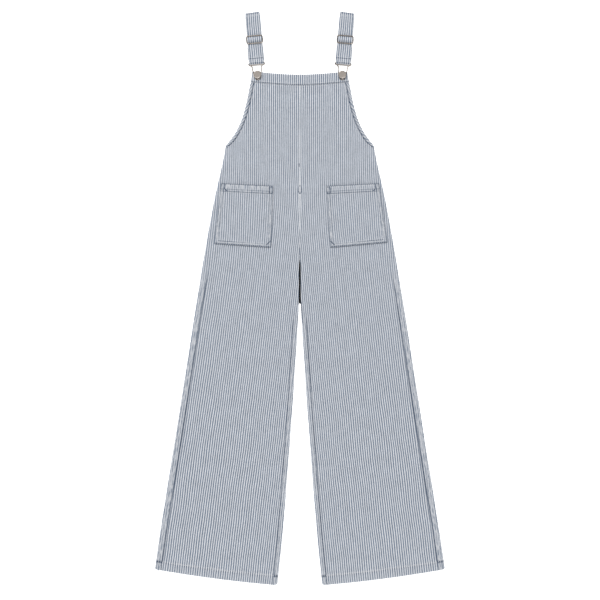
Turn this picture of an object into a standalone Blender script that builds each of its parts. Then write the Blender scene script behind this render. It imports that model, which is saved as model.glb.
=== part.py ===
"""Wide-leg dungaree jumpsuit in striped denim, laid flat on its back.

Metres, +Z up. X runs across the garment, Y from the hems to the straps, and Z = 0 is the surface
it lies on. Left and right are as seen from above, so left is at -X. The origin is under the middle.
"""

import math
from collections import namedtuple

import bmesh
import bpy
import numpy as np
from mathutils import Vector

MM = 0.001

# Driving dimensions
TOTAL_LENGTH = 1435 * MM
CLOTH = 1.2 * MM
DOUBLED = 2.4 * MM
SEAM_GAP = 0.3 * MM
BINDING_GAP = 0.55 * MM
BAND_TOP = 566 * MM
BAND_DEPTH = 26 * MM
BAND_SAG = 7.2 * MM
BAND_BOW = 1.5
BIB_BOW_END = 440 * MM
BINDING_WIDTH = 8.6 * MM
BINDING_WALL = 2.0 * MM
HEM_DEPTH = 23 * MM
HEM_RISE = 38.75 * MM
HEM_BULGE = 3.5 * MM
SIDE_ALLOWANCE = 15 * MM
INSEAM_ALLOWANCE = 11 * MM
CROTCH_HEIGHT = 90 * MM
BACK_CROTCH_HEIGHT = -12 * MM
BACK_TOP_HEIGHT = 482 * MM
BACK_CROTCH_NOTCH = 14 * MM
BACK_INSET = 5.2 * MM
BACK_INSET_CORNER = 11 * MM
BACK_INSET_TOP = 16 * MM
POCKET_HEM = 19 * MM
POCKET_BELLY = 0.9 * MM
STRAP_WIDTH = 38.6 * MM
STRAP_CLOTH = 1.8 * MM
STRAP_LEAN = math.radians(4.7)
STRAP_TOP_SHEAR = math.tan(math.radians(3.2))
BUTTON_X = 106 * MM
BUTTON_Y = 558.5 * MM
BUTTON_RADIUS = 9.9 * MM
SHANK_RADIUS = 4.2 * MM
BUCKLE_WIRE = 1.4 * MM
SLIDER_WIRE = 1.3 * MM
SLIDER_BAR = 1.0 * MM

# Places along a strap, measured from the button up the strap's middle line
BUCKLE_BAR = 29.4 * MM
SLIDER_MIDDLE = 87.8 * MM
SLIDER_HALF_HEIGHT = 9.4 * MM
STRAP_FOLD = 156.0 * MM
STRAP_TAIL = 40 * MM
STRAP_FOLD_BEND = 1.4 * MM

# Heights above the surface
EDGE_LEVEL = 0.5 * MM
FRONT_LOWER = CLOTH + SEAM_GAP
BAND_LOWER = 0.6 * MM
BAND_UPPER = BAND_LOWER + DOUBLED
BUCKLE_LEVEL = BAND_UPPER + SEAM_GAP + BUCKLE_WIRE
RETURN_LEVEL = 1.5 * STRAP_CLOTH + SEAM_GAP
RUN_LEVEL = 2.5 * STRAP_CLOTH + 2 * SEAM_GAP
SLIDER_LEVEL = RUN_LEVEL + STRAP_CLOTH / 2 + SEAM_GAP + SLIDER_WIRE

# Outline of the front in millimetres, one row for each section: its height and its half width
Section = namedtuple("Section", "height half_width")
ARMHOLE = (
    Section(565, 118.5),
    Section(540, 123.0),
    Section(515, 127.8),
    Section(475, 136.5),
    Section(435, 150.0),
    Section(405, 166.3),
    Section(381.5, 185.0),
)
SIDE_SEAM = (
    Section(381.5, 185.0),
    Section(345, 191.8),
    Section(295, 203.0),
    Section(245, 214.0),
    Section(195, 223.5),
    Section(95, 241.0),
    Section(-5, 257.5),
    Section(-205, 289.0),
    Section(-405, 320.5),
    Section(-605, 352.5),
    Section(-679, 363.0),
)
INSEAM = (
    Section(90, 0.15),
    Section(60, 0.9),
    Section(30, 1.8),
    Section(0, 2.5),
    Section(-30, 3.2),
    Section(-60, 4.6),
    Section(-105, 7.4),
    Section(-205, 13.8),
    Section(-305, 20.8),
    Section(-405, 28.3),
    Section(-505, 36.0),
    Section(-605, 44.2),
    Section(-717.5, 56.0),
)

# Corners of each pocket in millimetres, out from the centre seam and up
Pocket = namedtuple("Pocket", "top_outer top_inner low_inner low_outer")
POCKETS = {
    "left": Pocket((197, 285.8), (66.3, 279.3), (72.0, 126.3), (214.5, 135.8)),
    "right": Pocket((198, 285.8), (65.8, 279.3), (75.5, 126.3), (219.0, 139.0)),
}

# Soft waves of the front over the back, in millimetres and degrees: height, length, turn, phase
Wave = namedtuple("Wave", "height length turn phase")
WAVES = {
    "left": (Wave(0.5, 260, 25, 0.4), Wave(0.35, 190, 110, 1.9), Wave(0.3, 330, 75, 3.0)),
    "right": (Wave(0.45, 240, 150, 2.2), Wave(0.35, 205, 60, 0.7), Wave(0.35, 310, 100, 4.1)),
}

# Where the waves fade out up the bib, and where the bib comes down past the back's top edge
WAVES_END = (400 * MM, 500 * MM)
BIB_DROP = (490 * MM, 515 * MM)
# The front stands a little proud where the four seams meet at the crotch
CROTCH_HUMP = 1.8 * MM
HUMP_HEIGHT = 40 * MM
HUMP_REACH_OUT = 45 * MM
HUMP_REACH_UP = 90 * MM

# Share of its height that a rolled edge drops, against the distance in from it in millimetres
ROLL_INSETS = (1.2, 2.8, 5.0)
ROLL_DROPS = (1.0, 0.4, 0.0)
# Where a turned-in allowance starts and ends, as distances in from its own line
STEP_WIDTH = 2.5 * MM
# Heights between which the legs' inner edges start to roll down, and where the binding stops to
INSEAM_ROLL = (-60 * MM, -30 * MM)
BINDING_ROLL = (450 * MM, 490 * MM)
# Height below which the side seam's allowance shows as a raised strip
SIDE_STRIP_TOP = 60 * MM
PANEL_COLUMNS = 7
WAIST_ROWS = 8
CROTCH_ROWS = 4
LEG_ROWS = 17
ARMHOLE_ROWS = 9
BACK_COLUMNS = 6
BACK_ARMHOLE_ROWS = 5
BACK_SEAT_ROWS = 6
BACK_LEG_ROWS = 8
SIDES = {"left": -1, "right": 1}


def smooth(table, height):
    """Half width at a height, on a cubic curve through the table's rows."""
    heights = np.array([row.height for row in table][::-1]) * MM
    widths = np.array([row.half_width for row in table][::-1]) * MM
    slopes = np.gradient(widths, heights)
    place = int(np.clip(np.searchsorted(heights, height) - 1, 0, len(heights) - 2))
    step = heights[place + 1] - heights[place]
    part = min(max((height - heights[place]) / step, 0.0), 1.0)
    return float(
        widths[place] * (1 + 2 * part) * (1 - part) ** 2
        + slopes[place] * step * part * (1 - part) ** 2
        + widths[place + 1] * part ** 2 * (3 - 2 * part)
        + slopes[place + 1] * step * part ** 2 * (part - 1)
    )


def ease(value, start, end):
    """0 at start, 1 at end, with a soft change between."""
    part = min(max((value - start) / (end - start), 0.0), 1.0)
    return part * part * (3 - 2 * part)


def underside(side, out, height):
    """Height of the front's lower face, at a distance out from the centre seam."""
    level = FRONT_LOWER
    fade = 1 - ease(height, *WAVES_END)
    for wave in WAVES[side]:
        turn = math.radians(wave.turn)
        along = out * math.cos(turn) + height * math.sin(turn)
        phase = 2 * math.pi * along / (wave.length * MM) + wave.phase
        level += fade * wave.height * MM * (1 + math.sin(phase)) / 2
    level += ease(height, *BIB_DROP) * (BAND_LOWER - FRONT_LOWER)
    from_hump = (out / HUMP_REACH_OUT) ** 2 + ((height - HUMP_HEIGHT) / HUMP_REACH_UP) ** 2
    return level + CROTCH_HUMP * math.exp(-from_hump)


def hem_lift(above_hem):
    """Rise of the front's lower face where the back's hem is doubled under it."""
    return (DOUBLED - CLOTH) * (1 - ease(above_hem, HEM_DEPTH, 2 * HEM_DEPTH))


def dipping(part):
    """How far the band dips at a part of its half width, from 1 in the middle to 0 at its ends."""
    return max(0.0, 1 - part * part) ** BAND_BOW


def band_line(out):
    """Height of the band's lower edge, which dips towards the middle."""
    edge = smooth(ARMHOLE, BAND_TOP - BAND_DEPTH)
    return BAND_TOP - BAND_DEPTH - BAND_SAG * dipping(out / edge)


def armhole_stations():
    """Outer and inner points of the binding, from the band's lower edge to the side seam."""
    top = BAND_TOP - BAND_DEPTH - SEAM_GAP
    corner = ARMHOLE[-1].height * MM
    fine = [top + (corner - top) * k / 200 for k in range(201)]
    curve = np.array([(smooth(ARMHOLE, y), y) for y in fine])
    run = np.concatenate([[0], np.cumsum(np.linalg.norm(np.diff(curve, axis=0), axis=1))])
    stations = []
    for k in range(ARMHOLE_ROWS + 1):
        at = run[-1] * k / ARMHOLE_ROWS
        place = min(int(np.searchsorted(run, at)), len(run) - 1)
        before, after = max(place - 1, 0), min(place + 1, len(run) - 1)
        along = curve[after] - curve[before]
        along /= np.linalg.norm(along)
        inward = np.array([along[1], -along[0]])
        outer = curve[place]
        inner = outer + inward * BINDING_WIDTH
        if k == 0:
            inner = outer - np.array([BINDING_WIDTH, 0.0])
            inner[1] = band_line(inner[0]) - SEAM_GAP
        if k == ARMHOLE_ROWS:
            low = outer[1] - 0.95 * BINDING_WIDTH
            inner = np.array([smooth(SIDE_SEAM, low), low])
        stations.append((outer, inner))
    return stations


STATIONS = armhole_stations()

# A row of a panel: its height and half width at the inner and the outer edge, whether the row is
# bowed like the band, how far it dips midway, and its distance above the hem
Row = namedtuple("Row", "inner outer inner_x outer_x bowed dip above_hem")


def front_rows():
    rows = []
    top = STATIONS[0][1]
    sag = band_line(top[0]) - band_line(0.0)
    for outer, inner in STATIONS:
        height = inner[1] if inner is top else inner[1] - BINDING_GAP
        dip = sag * ease(inner[1], BIB_BOW_END, top[1])
        out = inner[0] - (0.0 if inner is STATIONS[-1][1] else BINDING_GAP)
        rows.append(Row(height - dip, height, SEAM_GAP / 2, out, True, 0.0, 1.0))
    start = rows[-1].inner
    for k in range(1, WAIST_ROWS + 1):
        height = start + (CROTCH_HEIGHT - start) * k / WAIST_ROWS
        rows.append(leg_row(height))
    lowest = -TOTAL_LENGTH / 2
    for k in range(1, CROTCH_ROWS + 1):
        rows.append(leg_row(CROTCH_HEIGHT + (BACK_CROTCH_HEIGHT - CROTCH_HEIGHT) * k / CROTCH_ROWS))
    hem_line = lowest + HEM_DEPTH + STEP_WIDTH
    for k in range(1, LEG_ROWS + 1):
        rows.append(leg_row(BACK_CROTCH_HEIGHT + (hem_line - BACK_CROTCH_HEIGHT) * k / LEG_ROWS))
    rows.append(leg_row(lowest + HEM_DEPTH))
    rows.append(leg_row(lowest + HEM_DEPTH / 2))
    rows.append(leg_row(lowest))
    return rows


def leg_row(height):
    """A row that starts at this height on the inner edge and turns with the leg."""
    below = max(0.0, (CROTCH_HEIGHT - height) / (CROTCH_HEIGHT + TOTAL_LENGTH / 2))
    outer = height + HEM_RISE * below
    return Row(
        height, outer, smooth(INSEAM, height), smooth(SIDE_SEAM, outer), False,
        HEM_BULGE * below ** 2, height + TOTAL_LENGTH / 2,
    )


def on_row(row, part):
    """Distance out and height of the point at this part of a row, from inner to outer edge."""
    out = row.inner_x + (row.outer_x - row.inner_x) * part
    if row.bowed:
        whole = STATIONS[0][1][0] / smooth(ARMHOLE, BAND_TOP - BAND_DEPTH)
        rise = (1 - dipping(part * whole)) / (1 - dipping(whole))
        return out, row.inner + (row.outer - row.inner) * rise
    dip = row.dip * 4 * part * (1 - part)
    return out, row.inner + (row.outer - row.inner) * part - dip


def material(name, colour, roughness, metallic):
    made = bpy.data.materials.new(name)
    made.use_nodes = True
    shader = made.node_tree.nodes["Principled BSDF"]
    shader.inputs["Base Color"].default_value = (*colour, 1.0)
    shader.inputs["Roughness"].default_value = roughness
    shader.inputs["Metallic"].default_value = metallic
    made.diffuse_color = (*colour, 1.0)
    return made


def link(name, mesh, finish):
    """A named object in the garment's collection, with its own copy of a finish."""
    piece = bpy.data.objects.new(name, mesh)
    bpy.data.collections["wide_leg_dungaree_jumpsuit"].objects.link(piece)
    piece.data.materials.append(material(name + "_finish", *finish))
    return piece


def cloth(name, columns, rows, place, thickness, finish, centred=False):
    """A sheet of cloth: a grid put in place point by point, then given its wall.

    place(i, j) gives the point of column i and row j, with x rising along i and y falling along j,
    and thickness(i, j) the wall there.
    """
    mesh = bpy.data.meshes.new(name)
    grid = bmesh.new()
    bmesh.ops.create_grid(grid, x_segments=columns - 1, y_segments=rows - 1, size=1.0)
    walls = []
    for vertex in grid.verts:
        i = round((vertex.co.x + 1) / 2 * (columns - 1))
        j = round((1 - vertex.co.y) / 2 * (rows - 1))
        walls.append(thickness(i, j))
        vertex.co = Vector(place(i, j))
    grid.to_mesh(mesh)
    grid.free()
    piece = link(name, mesh, finish)
    thickest = max(walls)
    group = piece.vertex_groups.new(name="wall")
    for index, wall in enumerate(walls):
        group.add([index], wall / thickest, "REPLACE")
    wall = piece.modifiers.new("Wall", "SOLIDIFY")
    wall.thickness = thickest
    wall.offset = 0.0 if centred else 1.0
    wall.vertex_group = group.name
    wall.use_even_offset = centred
    return piece


def across(columns, side, i):
    """Column i counted from the inner edge, for a grid whose columns run along +X."""
    return i if side > 0 else columns - 1 - i


def panel_parts(row, inward, outward):
    """Parts of a row at which the columns of a front panel stand, for how far each edge rolls."""
    width = row.outer_x - row.inner_x
    inner = [inset * MM for inset in ROLL_INSETS]
    inner[0] *= inward
    inner += [INSEAM_ALLOWANCE, INSEAM_ALLOWANCE + STEP_WIDTH]
    outer = [width - inset * MM for inset in ROLL_INSETS]
    outer[0] = width - ROLL_INSETS[0] * MM * outward
    outer += [width - SIDE_ALLOWANCE, width - SIDE_ALLOWANCE - STEP_WIDTH]
    first, last = inner[-1], outer[-1]
    middle = [first + (last - first) * k / (PANEL_COLUMNS + 1) for k in range(1, PANEL_COLUMNS + 1)]
    return [distance / width for distance in inner + middle + outer[::-1]]


def front(name, finish):
    side = SIDES[name]
    rows = front_rows()
    edge = len(ROLL_INSETS)
    columns = 2 * (edge + 2) + PANEL_COLUMNS

    def place(i, j):
        row = rows[j]
        k = across(columns, side, i)
        inward = 1 - ease(row.inner, *INSEAM_ROLL)
        outward = 0.0 if j < len(STATIONS) - 1 else 1.0
        out, height = on_row(row, panel_parts(row, inward, outward)[k])
        level = underside(name, out, height) + hem_lift(row.above_hem)
        drop = 0.0
        if k < edge:
            drop = ROLL_DROPS[k] * inward
        if k >= columns - edge:
            drop = ROLL_DROPS[columns - 1 - k] * outward
        level -= drop * (level - EDGE_LEVEL)
        return side * out, height, level

    def thickness(i, j):
        row = rows[j]
        k = across(columns, side, i)
        on_hem = row.above_hem <= HEM_DEPTH + MM
        on_inseam = k <= edge and row.inner < INSEAM_ROLL[0]
        on_side = k >= columns - 1 - edge and row.outer < SIDE_STRIP_TOP
        return DOUBLED if on_hem or on_inseam or on_side else CLOTH

    return cloth("front_" + name, columns, len(rows), place, thickness, finish)


def back_rows():
    """Rows of a back panel: the top edge, the armhole, the seat and the leg."""
    corner = STATIONS[-1][1][1]
    rows = []
    armhole_end = ARMHOLE[-1].height * MM
    for k in range(BACK_ARMHOLE_ROWS):
        part = k / BACK_ARMHOLE_ROWS
        height = BACK_TOP_HEIGHT + (corner - BACK_TOP_HEIGHT) * part
        inset = BACK_INSET_TOP + (BACK_INSET_CORNER - BACK_INSET_TOP) * part
        edge = smooth(ARMHOLE, max(height, armhole_end))
        rows.append(Row(height, height, SEAM_GAP / 2, edge - inset, False, 0.0, 1.0))
    for k in range(BACK_SEAT_ROWS + 1):
        height = corner + (BACK_CROTCH_HEIGHT - corner) * k / BACK_SEAT_ROWS
        inset = BACK_INSET_CORNER if k == 0 else BACK_INSET
        out = smooth(SIDE_SEAM, leg_row(height).outer) - inset
        rows.append(leg_row(height)._replace(inner_x=SEAM_GAP / 2, outer_x=out))
    lowest = -TOTAL_LENGTH / 2
    heights = [BACK_CROTCH_HEIGHT - BACK_CROTCH_NOTCH]
    fall = lowest + HEM_DEPTH + STEP_WIDTH - heights[0]
    heights += [heights[0] + fall * k / BACK_LEG_ROWS for k in range(1, BACK_LEG_ROWS + 1)]
    heights += [lowest + HEM_DEPTH, lowest]
    for height in heights:
        row = leg_row(height)
        rows.append(row._replace(inner_x=row.inner_x + BACK_INSET, outer_x=row.outer_x - BACK_INSET))
    return rows


def back(name, finish):
    side = SIDES[name]
    rows = back_rows()
    columns = BACK_COLUMNS

    def place(i, j):
        out, height = on_row(rows[j], across(columns, side, i) / (columns - 1))
        return side * out, height, 0.0

    def thickness(i, j):
        return DOUBLED if rows[j].above_hem <= HEM_DEPTH + MM else CLOTH

    return cloth("back_" + name, columns, len(rows), place, thickness, finish)


def bib_band(finish):
    columns = 17
    heights = [BAND_TOP, BAND_TOP - BAND_DEPTH / 2, BAND_TOP - BAND_DEPTH]

    def place(i, j):
        part = 2 * i / (columns - 1) - 1
        half = smooth(ARMHOLE, heights[j])
        out = part * half
        height = heights[j] - BAND_SAG * dipping(part)
        side = "left" if part < 0 else "right"
        return out, height, underside(side, abs(out), height)

    return cloth("bib_band", columns, len(heights), place, lambda i, j: DOUBLED, finish)


def armhole_binding(name, finish):
    side = SIDES[name]
    insets = [inset * MM for inset in ROLL_INSETS] + [BINDING_WIDTH]

    def place(i, j):
        k = across(len(insets), -side, i)
        outer, inner = STATIONS[j]
        out, height = outer + (inner - outer) * insets[k] / BINDING_WIDTH
        level = underside(name, out, height)
        drop = ROLL_DROPS[k] if k < len(ROLL_DROPS) else 0.0
        drop *= 1 - ease(height, *BINDING_ROLL)
        level -= drop * (level - EDGE_LEVEL)
        return side * out, height, level

    def thickness(i, j):
        return BINDING_WALL

    return cloth(
        "armhole_binding_" + name, len(insets), len(STATIONS), place, thickness, finish,
    )


def pocket(name, finish):
    side = SIDES[name]
    corners = POCKETS[name]
    columns = 8
    depth = (corners.top_inner[1] - corners.low_inner[1]) * MM
    hem = POCKET_HEM / depth
    falls = [0.0, hem / 2, hem, hem + STEP_WIDTH / depth]
    falls += [falls[-1] + (1 - falls[-1]) * k / 5 for k in range(1, 6)]

    def place(i, j):
        part = across(columns, side, i) / (columns - 1)
        fall = falls[j]
        top = Vector(corners.top_inner).lerp(Vector(corners.top_outer), part)
        low = Vector(corners.low_inner).lerp(Vector(corners.low_outer), part)
        out, height = top.lerp(low, fall) * MM
        belly = POCKET_BELLY * math.sin(math.pi * part) * math.cos(math.pi * fall / 2)
        level = underside(name, out, height) + CLOTH + SEAM_GAP + belly
        return side * out, height, level

    def thickness(i, j):
        return DOUBLED if falls[j] <= hem else CLOTH

    return cloth("pocket_" + name, columns, len(falls), place, thickness, finish)


def arc(middle, radius, start, end, steps):
    """Points of an arc in a plane, with angles in degrees."""
    turns = [math.radians(start + (end - start) * k / steps) for k in range(steps + 1)]
    return [(middle[0] + radius * math.cos(t), middle[1] + radius * math.sin(t)) for t in turns]


def strap_path():
    """Distance up the strap and height of its middle layer, from its hidden layer to its sewn end."""
    half = STRAP_CLOTH / 2
    bend = STRAP_FOLD_BEND
    path = [(STRAP_TAIL, half), (STRAP_TAIL + 12 * MM, half), (SLIDER_MIDDLE, half)]
    path += [(125 * MM, half), (145 * MM, half)]
    path += arc((STRAP_FOLD - half - bend, half + bend), bend, -90, 90, 8)
    under = SLIDER_MIDDLE + SLIDER_HALF_HEIGHT
    path += [(140 * MM, 4.0 * MM), (122 * MM, 4.7 * MM), (108 * MM, RUN_LEVEL), (under, RUN_LEVEL)]
    crest = SLIDER_LEVEL + SLIDER_BAR + SEAM_GAP + half
    for k in range(1, 12):
        turn = 2 * math.pi * k / 12
        up = RUN_LEVEL + (crest - RUN_LEVEL) * (1 - math.cos(turn)) / 2
        path.append((under - 2 * SLIDER_HALF_HEIGHT * k / 12, up))
    level_end = 68 * MM
    path += [(SLIDER_MIDDLE - SLIDER_HALF_HEIGHT, RUN_LEVEL), (level_end, RUN_LEVEL)]
    wrap = BUCKLE_WIRE + SEAM_GAP + half
    over = BUCKLE_LEVEL + wrap
    rise_length = BUCKLE_BAR + 2 * MM - level_end
    for k in range(1, 5):
        rise = ease(k / 5, 0.0, 1.0)
        path.append((level_end + rise_length * k / 5, RUN_LEVEL + (over - RUN_LEVEL) * rise))
    path += arc((BUCKLE_BAR, BUCKLE_LEVEL), wrap, 90, 270, 10)
    path += [(38 * MM, 3.3 * MM), (50 * MM, RETURN_LEVEL), (75 * MM, RETURN_LEVEL)]
    path += [(SLIDER_MIDDLE + 8 * MM, RETURN_LEVEL)]
    return path


def strap_half_width(up, level):
    """Half the strap's width: narrower round the buckle's bar, inside the slider and at the fold."""
    full = STRAP_WIDTH / 2
    full -= 0.8 * MM * (ease(up, 98 * MM, 112 * MM) + ease(up, 140 * MM, STRAP_FOLD))
    round_bar = 17.2 * MM
    in_slider = 17.8 * MM
    near_bar = 1 - ease(up, BUCKLE_BAR + 1 * MM, BUCKLE_BAR + 9 * MM)
    near_slider = 1 - ease(abs(up - SLIDER_MIDDLE), SLIDER_HALF_HEIGHT + 2 * MM, 22 * MM)
    if level < STRAP_CLOTH:
        tail = 1 - ease(up, STRAP_TAIL, STRAP_TAIL + 12 * MM)
        return full - 0.8 * MM - 1.6 * MM * tail
    return full + (round_bar - full) * near_bar + (in_slider - full) * near_slider


def to_garment(side, across_strap, up, level):
    """A strap's own place, in from its middle line and up from the button, in garment axes."""
    inward = -side * across_strap
    x = side * BUTTON_X + inward * math.cos(STRAP_LEAN) + side * up * math.sin(STRAP_LEAN)
    y = BUTTON_Y + across_strap * math.sin(STRAP_LEAN) + up * math.cos(STRAP_LEAN)
    return x, y, level


def strap(name, finish):
    side = SIDES[name]
    path = strap_path()
    crosswise = (-1, 0, 1)

    def place(i, j):
        up, level = path[j]
        inward = crosswise[i] * strap_half_width(up, level)
        slant = ease(up, 110 * MM, 150 * MM) * STRAP_TOP_SHEAR * inward
        return to_garment(side, inward, up + slant, level)

    return cloth(
        "strap_" + name, len(crosswise), len(path), place, lambda i, j: STRAP_CLOTH, finish, True,
    )


def wire(name, points, radius, closed):
    """A bent wire as a mesh, its ends closed where it is open."""
    curve = bpy.data.curves.new(name, "CURVE")
    curve.dimensions = "3D"
    curve.bevel_depth = radius
    curve.bevel_resolution = 2
    curve.use_fill_caps = True
    spline = curve.splines.new("POLY")
    spline.points.add(len(points) - 1)
    for point, place in zip(spline.points, points):
        point.co = (*place, 1.0)
    spline.use_cyclic_u = closed
    guide = bpy.data.objects.new(name, curve)
    bpy.context.scene.collection.objects.link(guide)
    bpy.context.view_layer.update()
    graph = bpy.context.evaluated_depsgraph_get()
    mesh = bpy.data.meshes.new_from_object(guide.evaluated_get(graph))
    bpy.data.objects.remove(guide)
    welded = bmesh.new()
    welded.from_mesh(mesh)
    bmesh.ops.remove_doubles(welded, verts=welded.verts, dist=0.01 * MM)
    bmesh.ops.recalc_face_normals(welded, faces=welded.faces)
    welded.to_mesh(mesh)
    welded.free()
    return mesh


def joined(name, first, second, finish):
    """Two wires made one body, the second kept as a hidden helper."""
    piece = link(name, first, finish)
    helper = bpy.data.objects.new(name + "_joined_wire", second)
    bpy.data.collections["helpers"].objects.link(helper)
    helper.hide_render = True
    helper.display_type = "WIRE"
    union = piece.modifiers.new("Joined", "BOOLEAN")
    union.operation = "UNION"
    union.object = helper
    return piece


def mirrored(half):
    """A closed outline from its half at +X, whose first and last points are on the middle line."""
    return half + [(-x, y) for x, y in half[-2:0:-1]]


def slider(name, finish):
    side = SIDES[name]
    corner = 3.8 * MM
    reach = 19.8 * MM
    flat = reach - corner
    half = [(0.0, SLIDER_HALF_HEIGHT)]
    half += arc((flat, SLIDER_HALF_HEIGHT - corner), corner, 90, 20, 4)
    half += [(reach + 0.35 * MM, 0.0)]
    half += arc((flat, corner - SLIDER_HALF_HEIGHT), corner, -20, -90, 4)
    half += [(0.0, -SLIDER_HALF_HEIGHT)]
    loop = [to_garment(side, x, SLIDER_MIDDLE + y, SLIDER_LEVEL) for x, y in mirrored(half)]
    bar = [to_garment(side, x, SLIDER_MIDDLE, SLIDER_LEVEL) for x in (-reach, reach)]
    return joined(
        "slider_" + name, wire("slider", loop, SLIDER_WIRE, True), wire("bar", bar, SLIDER_BAR, False),
        finish,
    )


def buckle(name, finish):
    side = SIDES[name]
    corner = 2.3 * MM
    reach = 19.6 * MM
    lower = 24.0 * MM
    flat = reach - corner
    half = [(0.0, BUCKLE_BAR)]
    half += arc((flat, BUCKLE_BAR - corner), corner, 90, 0, 4)
    half += arc((flat, lower + corner), corner, 0, -90, 4)
    half += [(0.0, lower)]
    loop = [to_garment(side, x, y, BUCKLE_LEVEL) for x, y in mirrored(half)]
    neck = [(16.4, 24.0), (14.9, 22.8), (13.1, 21.3), (11.7, 19.4), (11.2, 17.0), (11.4, 13.6)]
    neck += [(10.8, 9.8), (9.4, 5.2), (7.8, 0.0)]
    neck = [(x * MM, y * MM) for x, y in neck]
    ring = arc((0.0, -5.4 * MM), 6.9 * MM, 12, -90, 6)
    right = neck + ring
    left = [(-x, y) for x, y in right[-2::-1]]
    hook = [to_garment(side, x, y, BUCKLE_LEVEL) for x, y in right + left]
    return joined(
        "buckle_" + name, wire("loop", loop, BUCKLE_WIRE, True),
        wire("hook", hook, BUCKLE_WIRE * 0.93, False), finish,
    )


def button(name, finish):
    """A shank button: a turned profile from the middle of its face down to its foot."""
    side = SIDES[name]
    foot = BAND_UPPER + SEAM_GAP
    under = BUCKLE_LEVEL + BUCKLE_WIRE + SEAM_GAP
    face = under + 3.0 * MM
    rim = BUTTON_RADIUS
    profile = [
        (0.0, face - 0.4 * MM), (0.62 * rim, face - 0.3 * MM), (0.72 * rim, face),
        (0.86 * rim, face - 0.2 * MM), (0.97 * rim, face - 1.1 * MM), (rim, face - 1.9 * MM),
        (0.96 * rim, under + 0.3 * MM), (0.86 * rim, under), (SHANK_RADIUS, under),
        (SHANK_RADIUS, foot), (0.0, foot),
    ]
    mesh = bpy.data.meshes.new("button_" + name)
    shape = bmesh.new()
    corners = [shape.verts.new((x, 0.0, z)) for x, z in profile]
    edges = [shape.edges.new(pair) for pair in zip(corners, corners[1:])]
    bmesh.ops.spin(
        shape, geom=corners + edges, cent=(0, 0, 0), axis=(0, 0, 1), angle=2 * math.pi,
        steps=20, use_merge=True,
    )
    bmesh.ops.remove_doubles(shape, verts=shape.verts, dist=0.01 * MM)
    bmesh.ops.recalc_face_normals(shape, faces=shape.faces)
    shape.to_mesh(mesh)
    shape.free()
    mesh.shade_smooth()
    mesh.set_sharp_from_angle(angle=math.radians(35))
    piece = link("button_" + name, mesh, finish)
    piece.location = (side * BUTTON_X, BUTTON_Y, 0.0)
    return piece


def main():
    for piece in list(bpy.data.objects):
        bpy.data.objects.remove(piece)
    for name in ("wide_leg_dungaree_jumpsuit", "helpers"):
        group = bpy.data.collections.new(name)
        bpy.context.scene.collection.children.link(group)
    bpy.data.collections["helpers"].hide_render = True
    denim = ((0.40, 0.45, 0.54), 0.92, 0.0)
    faded = ((0.46, 0.50, 0.57), 0.92, 0.0)
    nickel = ((0.42, 0.38, 0.34), 0.38, 1.0)
    bib_band(faded)
    for name in SIDES:
        back(name, denim)
        front(name, denim)
        armhole_binding(name, faded)
        pocket(name, denim)
        strap(name, denim)
        slider(name, nickel)
        buckle(name, nickel)
        button(name, nickel)


main()
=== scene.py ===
import math
from collections import namedtuple

import bmesh
import bpy
import numpy as np
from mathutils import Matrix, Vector


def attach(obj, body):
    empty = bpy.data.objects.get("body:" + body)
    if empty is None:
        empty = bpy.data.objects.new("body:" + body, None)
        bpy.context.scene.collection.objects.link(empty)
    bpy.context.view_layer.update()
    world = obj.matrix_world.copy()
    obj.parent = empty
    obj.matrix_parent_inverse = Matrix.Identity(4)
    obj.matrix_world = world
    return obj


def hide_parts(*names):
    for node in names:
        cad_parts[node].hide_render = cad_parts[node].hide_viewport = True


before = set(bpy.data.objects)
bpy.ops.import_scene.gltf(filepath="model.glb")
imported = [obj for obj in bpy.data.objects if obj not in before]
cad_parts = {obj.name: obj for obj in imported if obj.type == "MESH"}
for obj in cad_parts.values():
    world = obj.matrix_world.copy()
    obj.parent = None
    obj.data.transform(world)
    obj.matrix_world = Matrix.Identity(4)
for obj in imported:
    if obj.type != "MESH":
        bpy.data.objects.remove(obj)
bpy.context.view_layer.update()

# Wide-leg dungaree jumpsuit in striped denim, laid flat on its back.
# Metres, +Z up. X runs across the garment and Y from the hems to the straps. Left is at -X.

bl_info = {
    "name": "Wide-leg Dungaree Jumpsuit",
    "version": (1, 0, 0),
    "blender": (4, 5, 0),
    "location": "View3D > Sidebar > Dungarees",
    "description": "Builds a wide-leg dungaree jumpsuit in striped denim, laid flat, piece by piece",
    "category": "Object",
}

MM = 0.001
SIDES = {"left": -1, "right": 1}

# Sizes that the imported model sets
TOTAL_LENGTH = 1435 * MM
SEAM_GAP = 0.3 * MM
CLOTH = 1.2 * MM
DOUBLED = 2.4 * MM
BAND_TOP = 566 * MM
BAND_DEPTH = 26 * MM
BAND_SAG = 7.2 * MM
BAND_BOW = 1.5
BIB_BOW_END = 440 * MM
BINDING_WIDTH = 8.6 * MM
BINDING_WALL = 2.0 * MM
STRAND = 17 * MM
TWIST = 11.5 * MM
HEM_DEPTH = 23 * MM
HEM_RISE = 38.75 * MM
HEM_BULGE = 3.5 * MM
SIDE_ALLOWANCE = 15 * MM
INSEAM_ALLOWANCE = 11 * MM
STEP_WIDTH = 2.5 * MM
HEM_CORNER = 4.5 * MM
CROTCH_HEIGHT = 90 * MM
BACK_CROTCH_HEIGHT = -12 * MM
BACK_TOP_HEIGHT = 482 * MM
BACK_CROTCH_NOTCH = 14 * MM
BACK_INSET = 5.2 * MM
BACK_INSET_CORNER = 11 * MM
BACK_INSET_TOP = 16 * MM
BACK_SEAM = 0.01 * MM
POCKET_HEM = 19 * MM
POCKET_BELLY = 0.9 * MM
POCKET_OUTER_ROW = 1.7 * MM
POCKET_INNER_ROW = 8.0 * MM
POCKET_HEM_ROWS = (13.0 * MM, 18.6 * MM)
STRAP_WIDTH = 38.6 * MM
STRAP_CLOTH = 1.8 * MM
STRAP_LEAN = math.radians(4.7)
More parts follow.
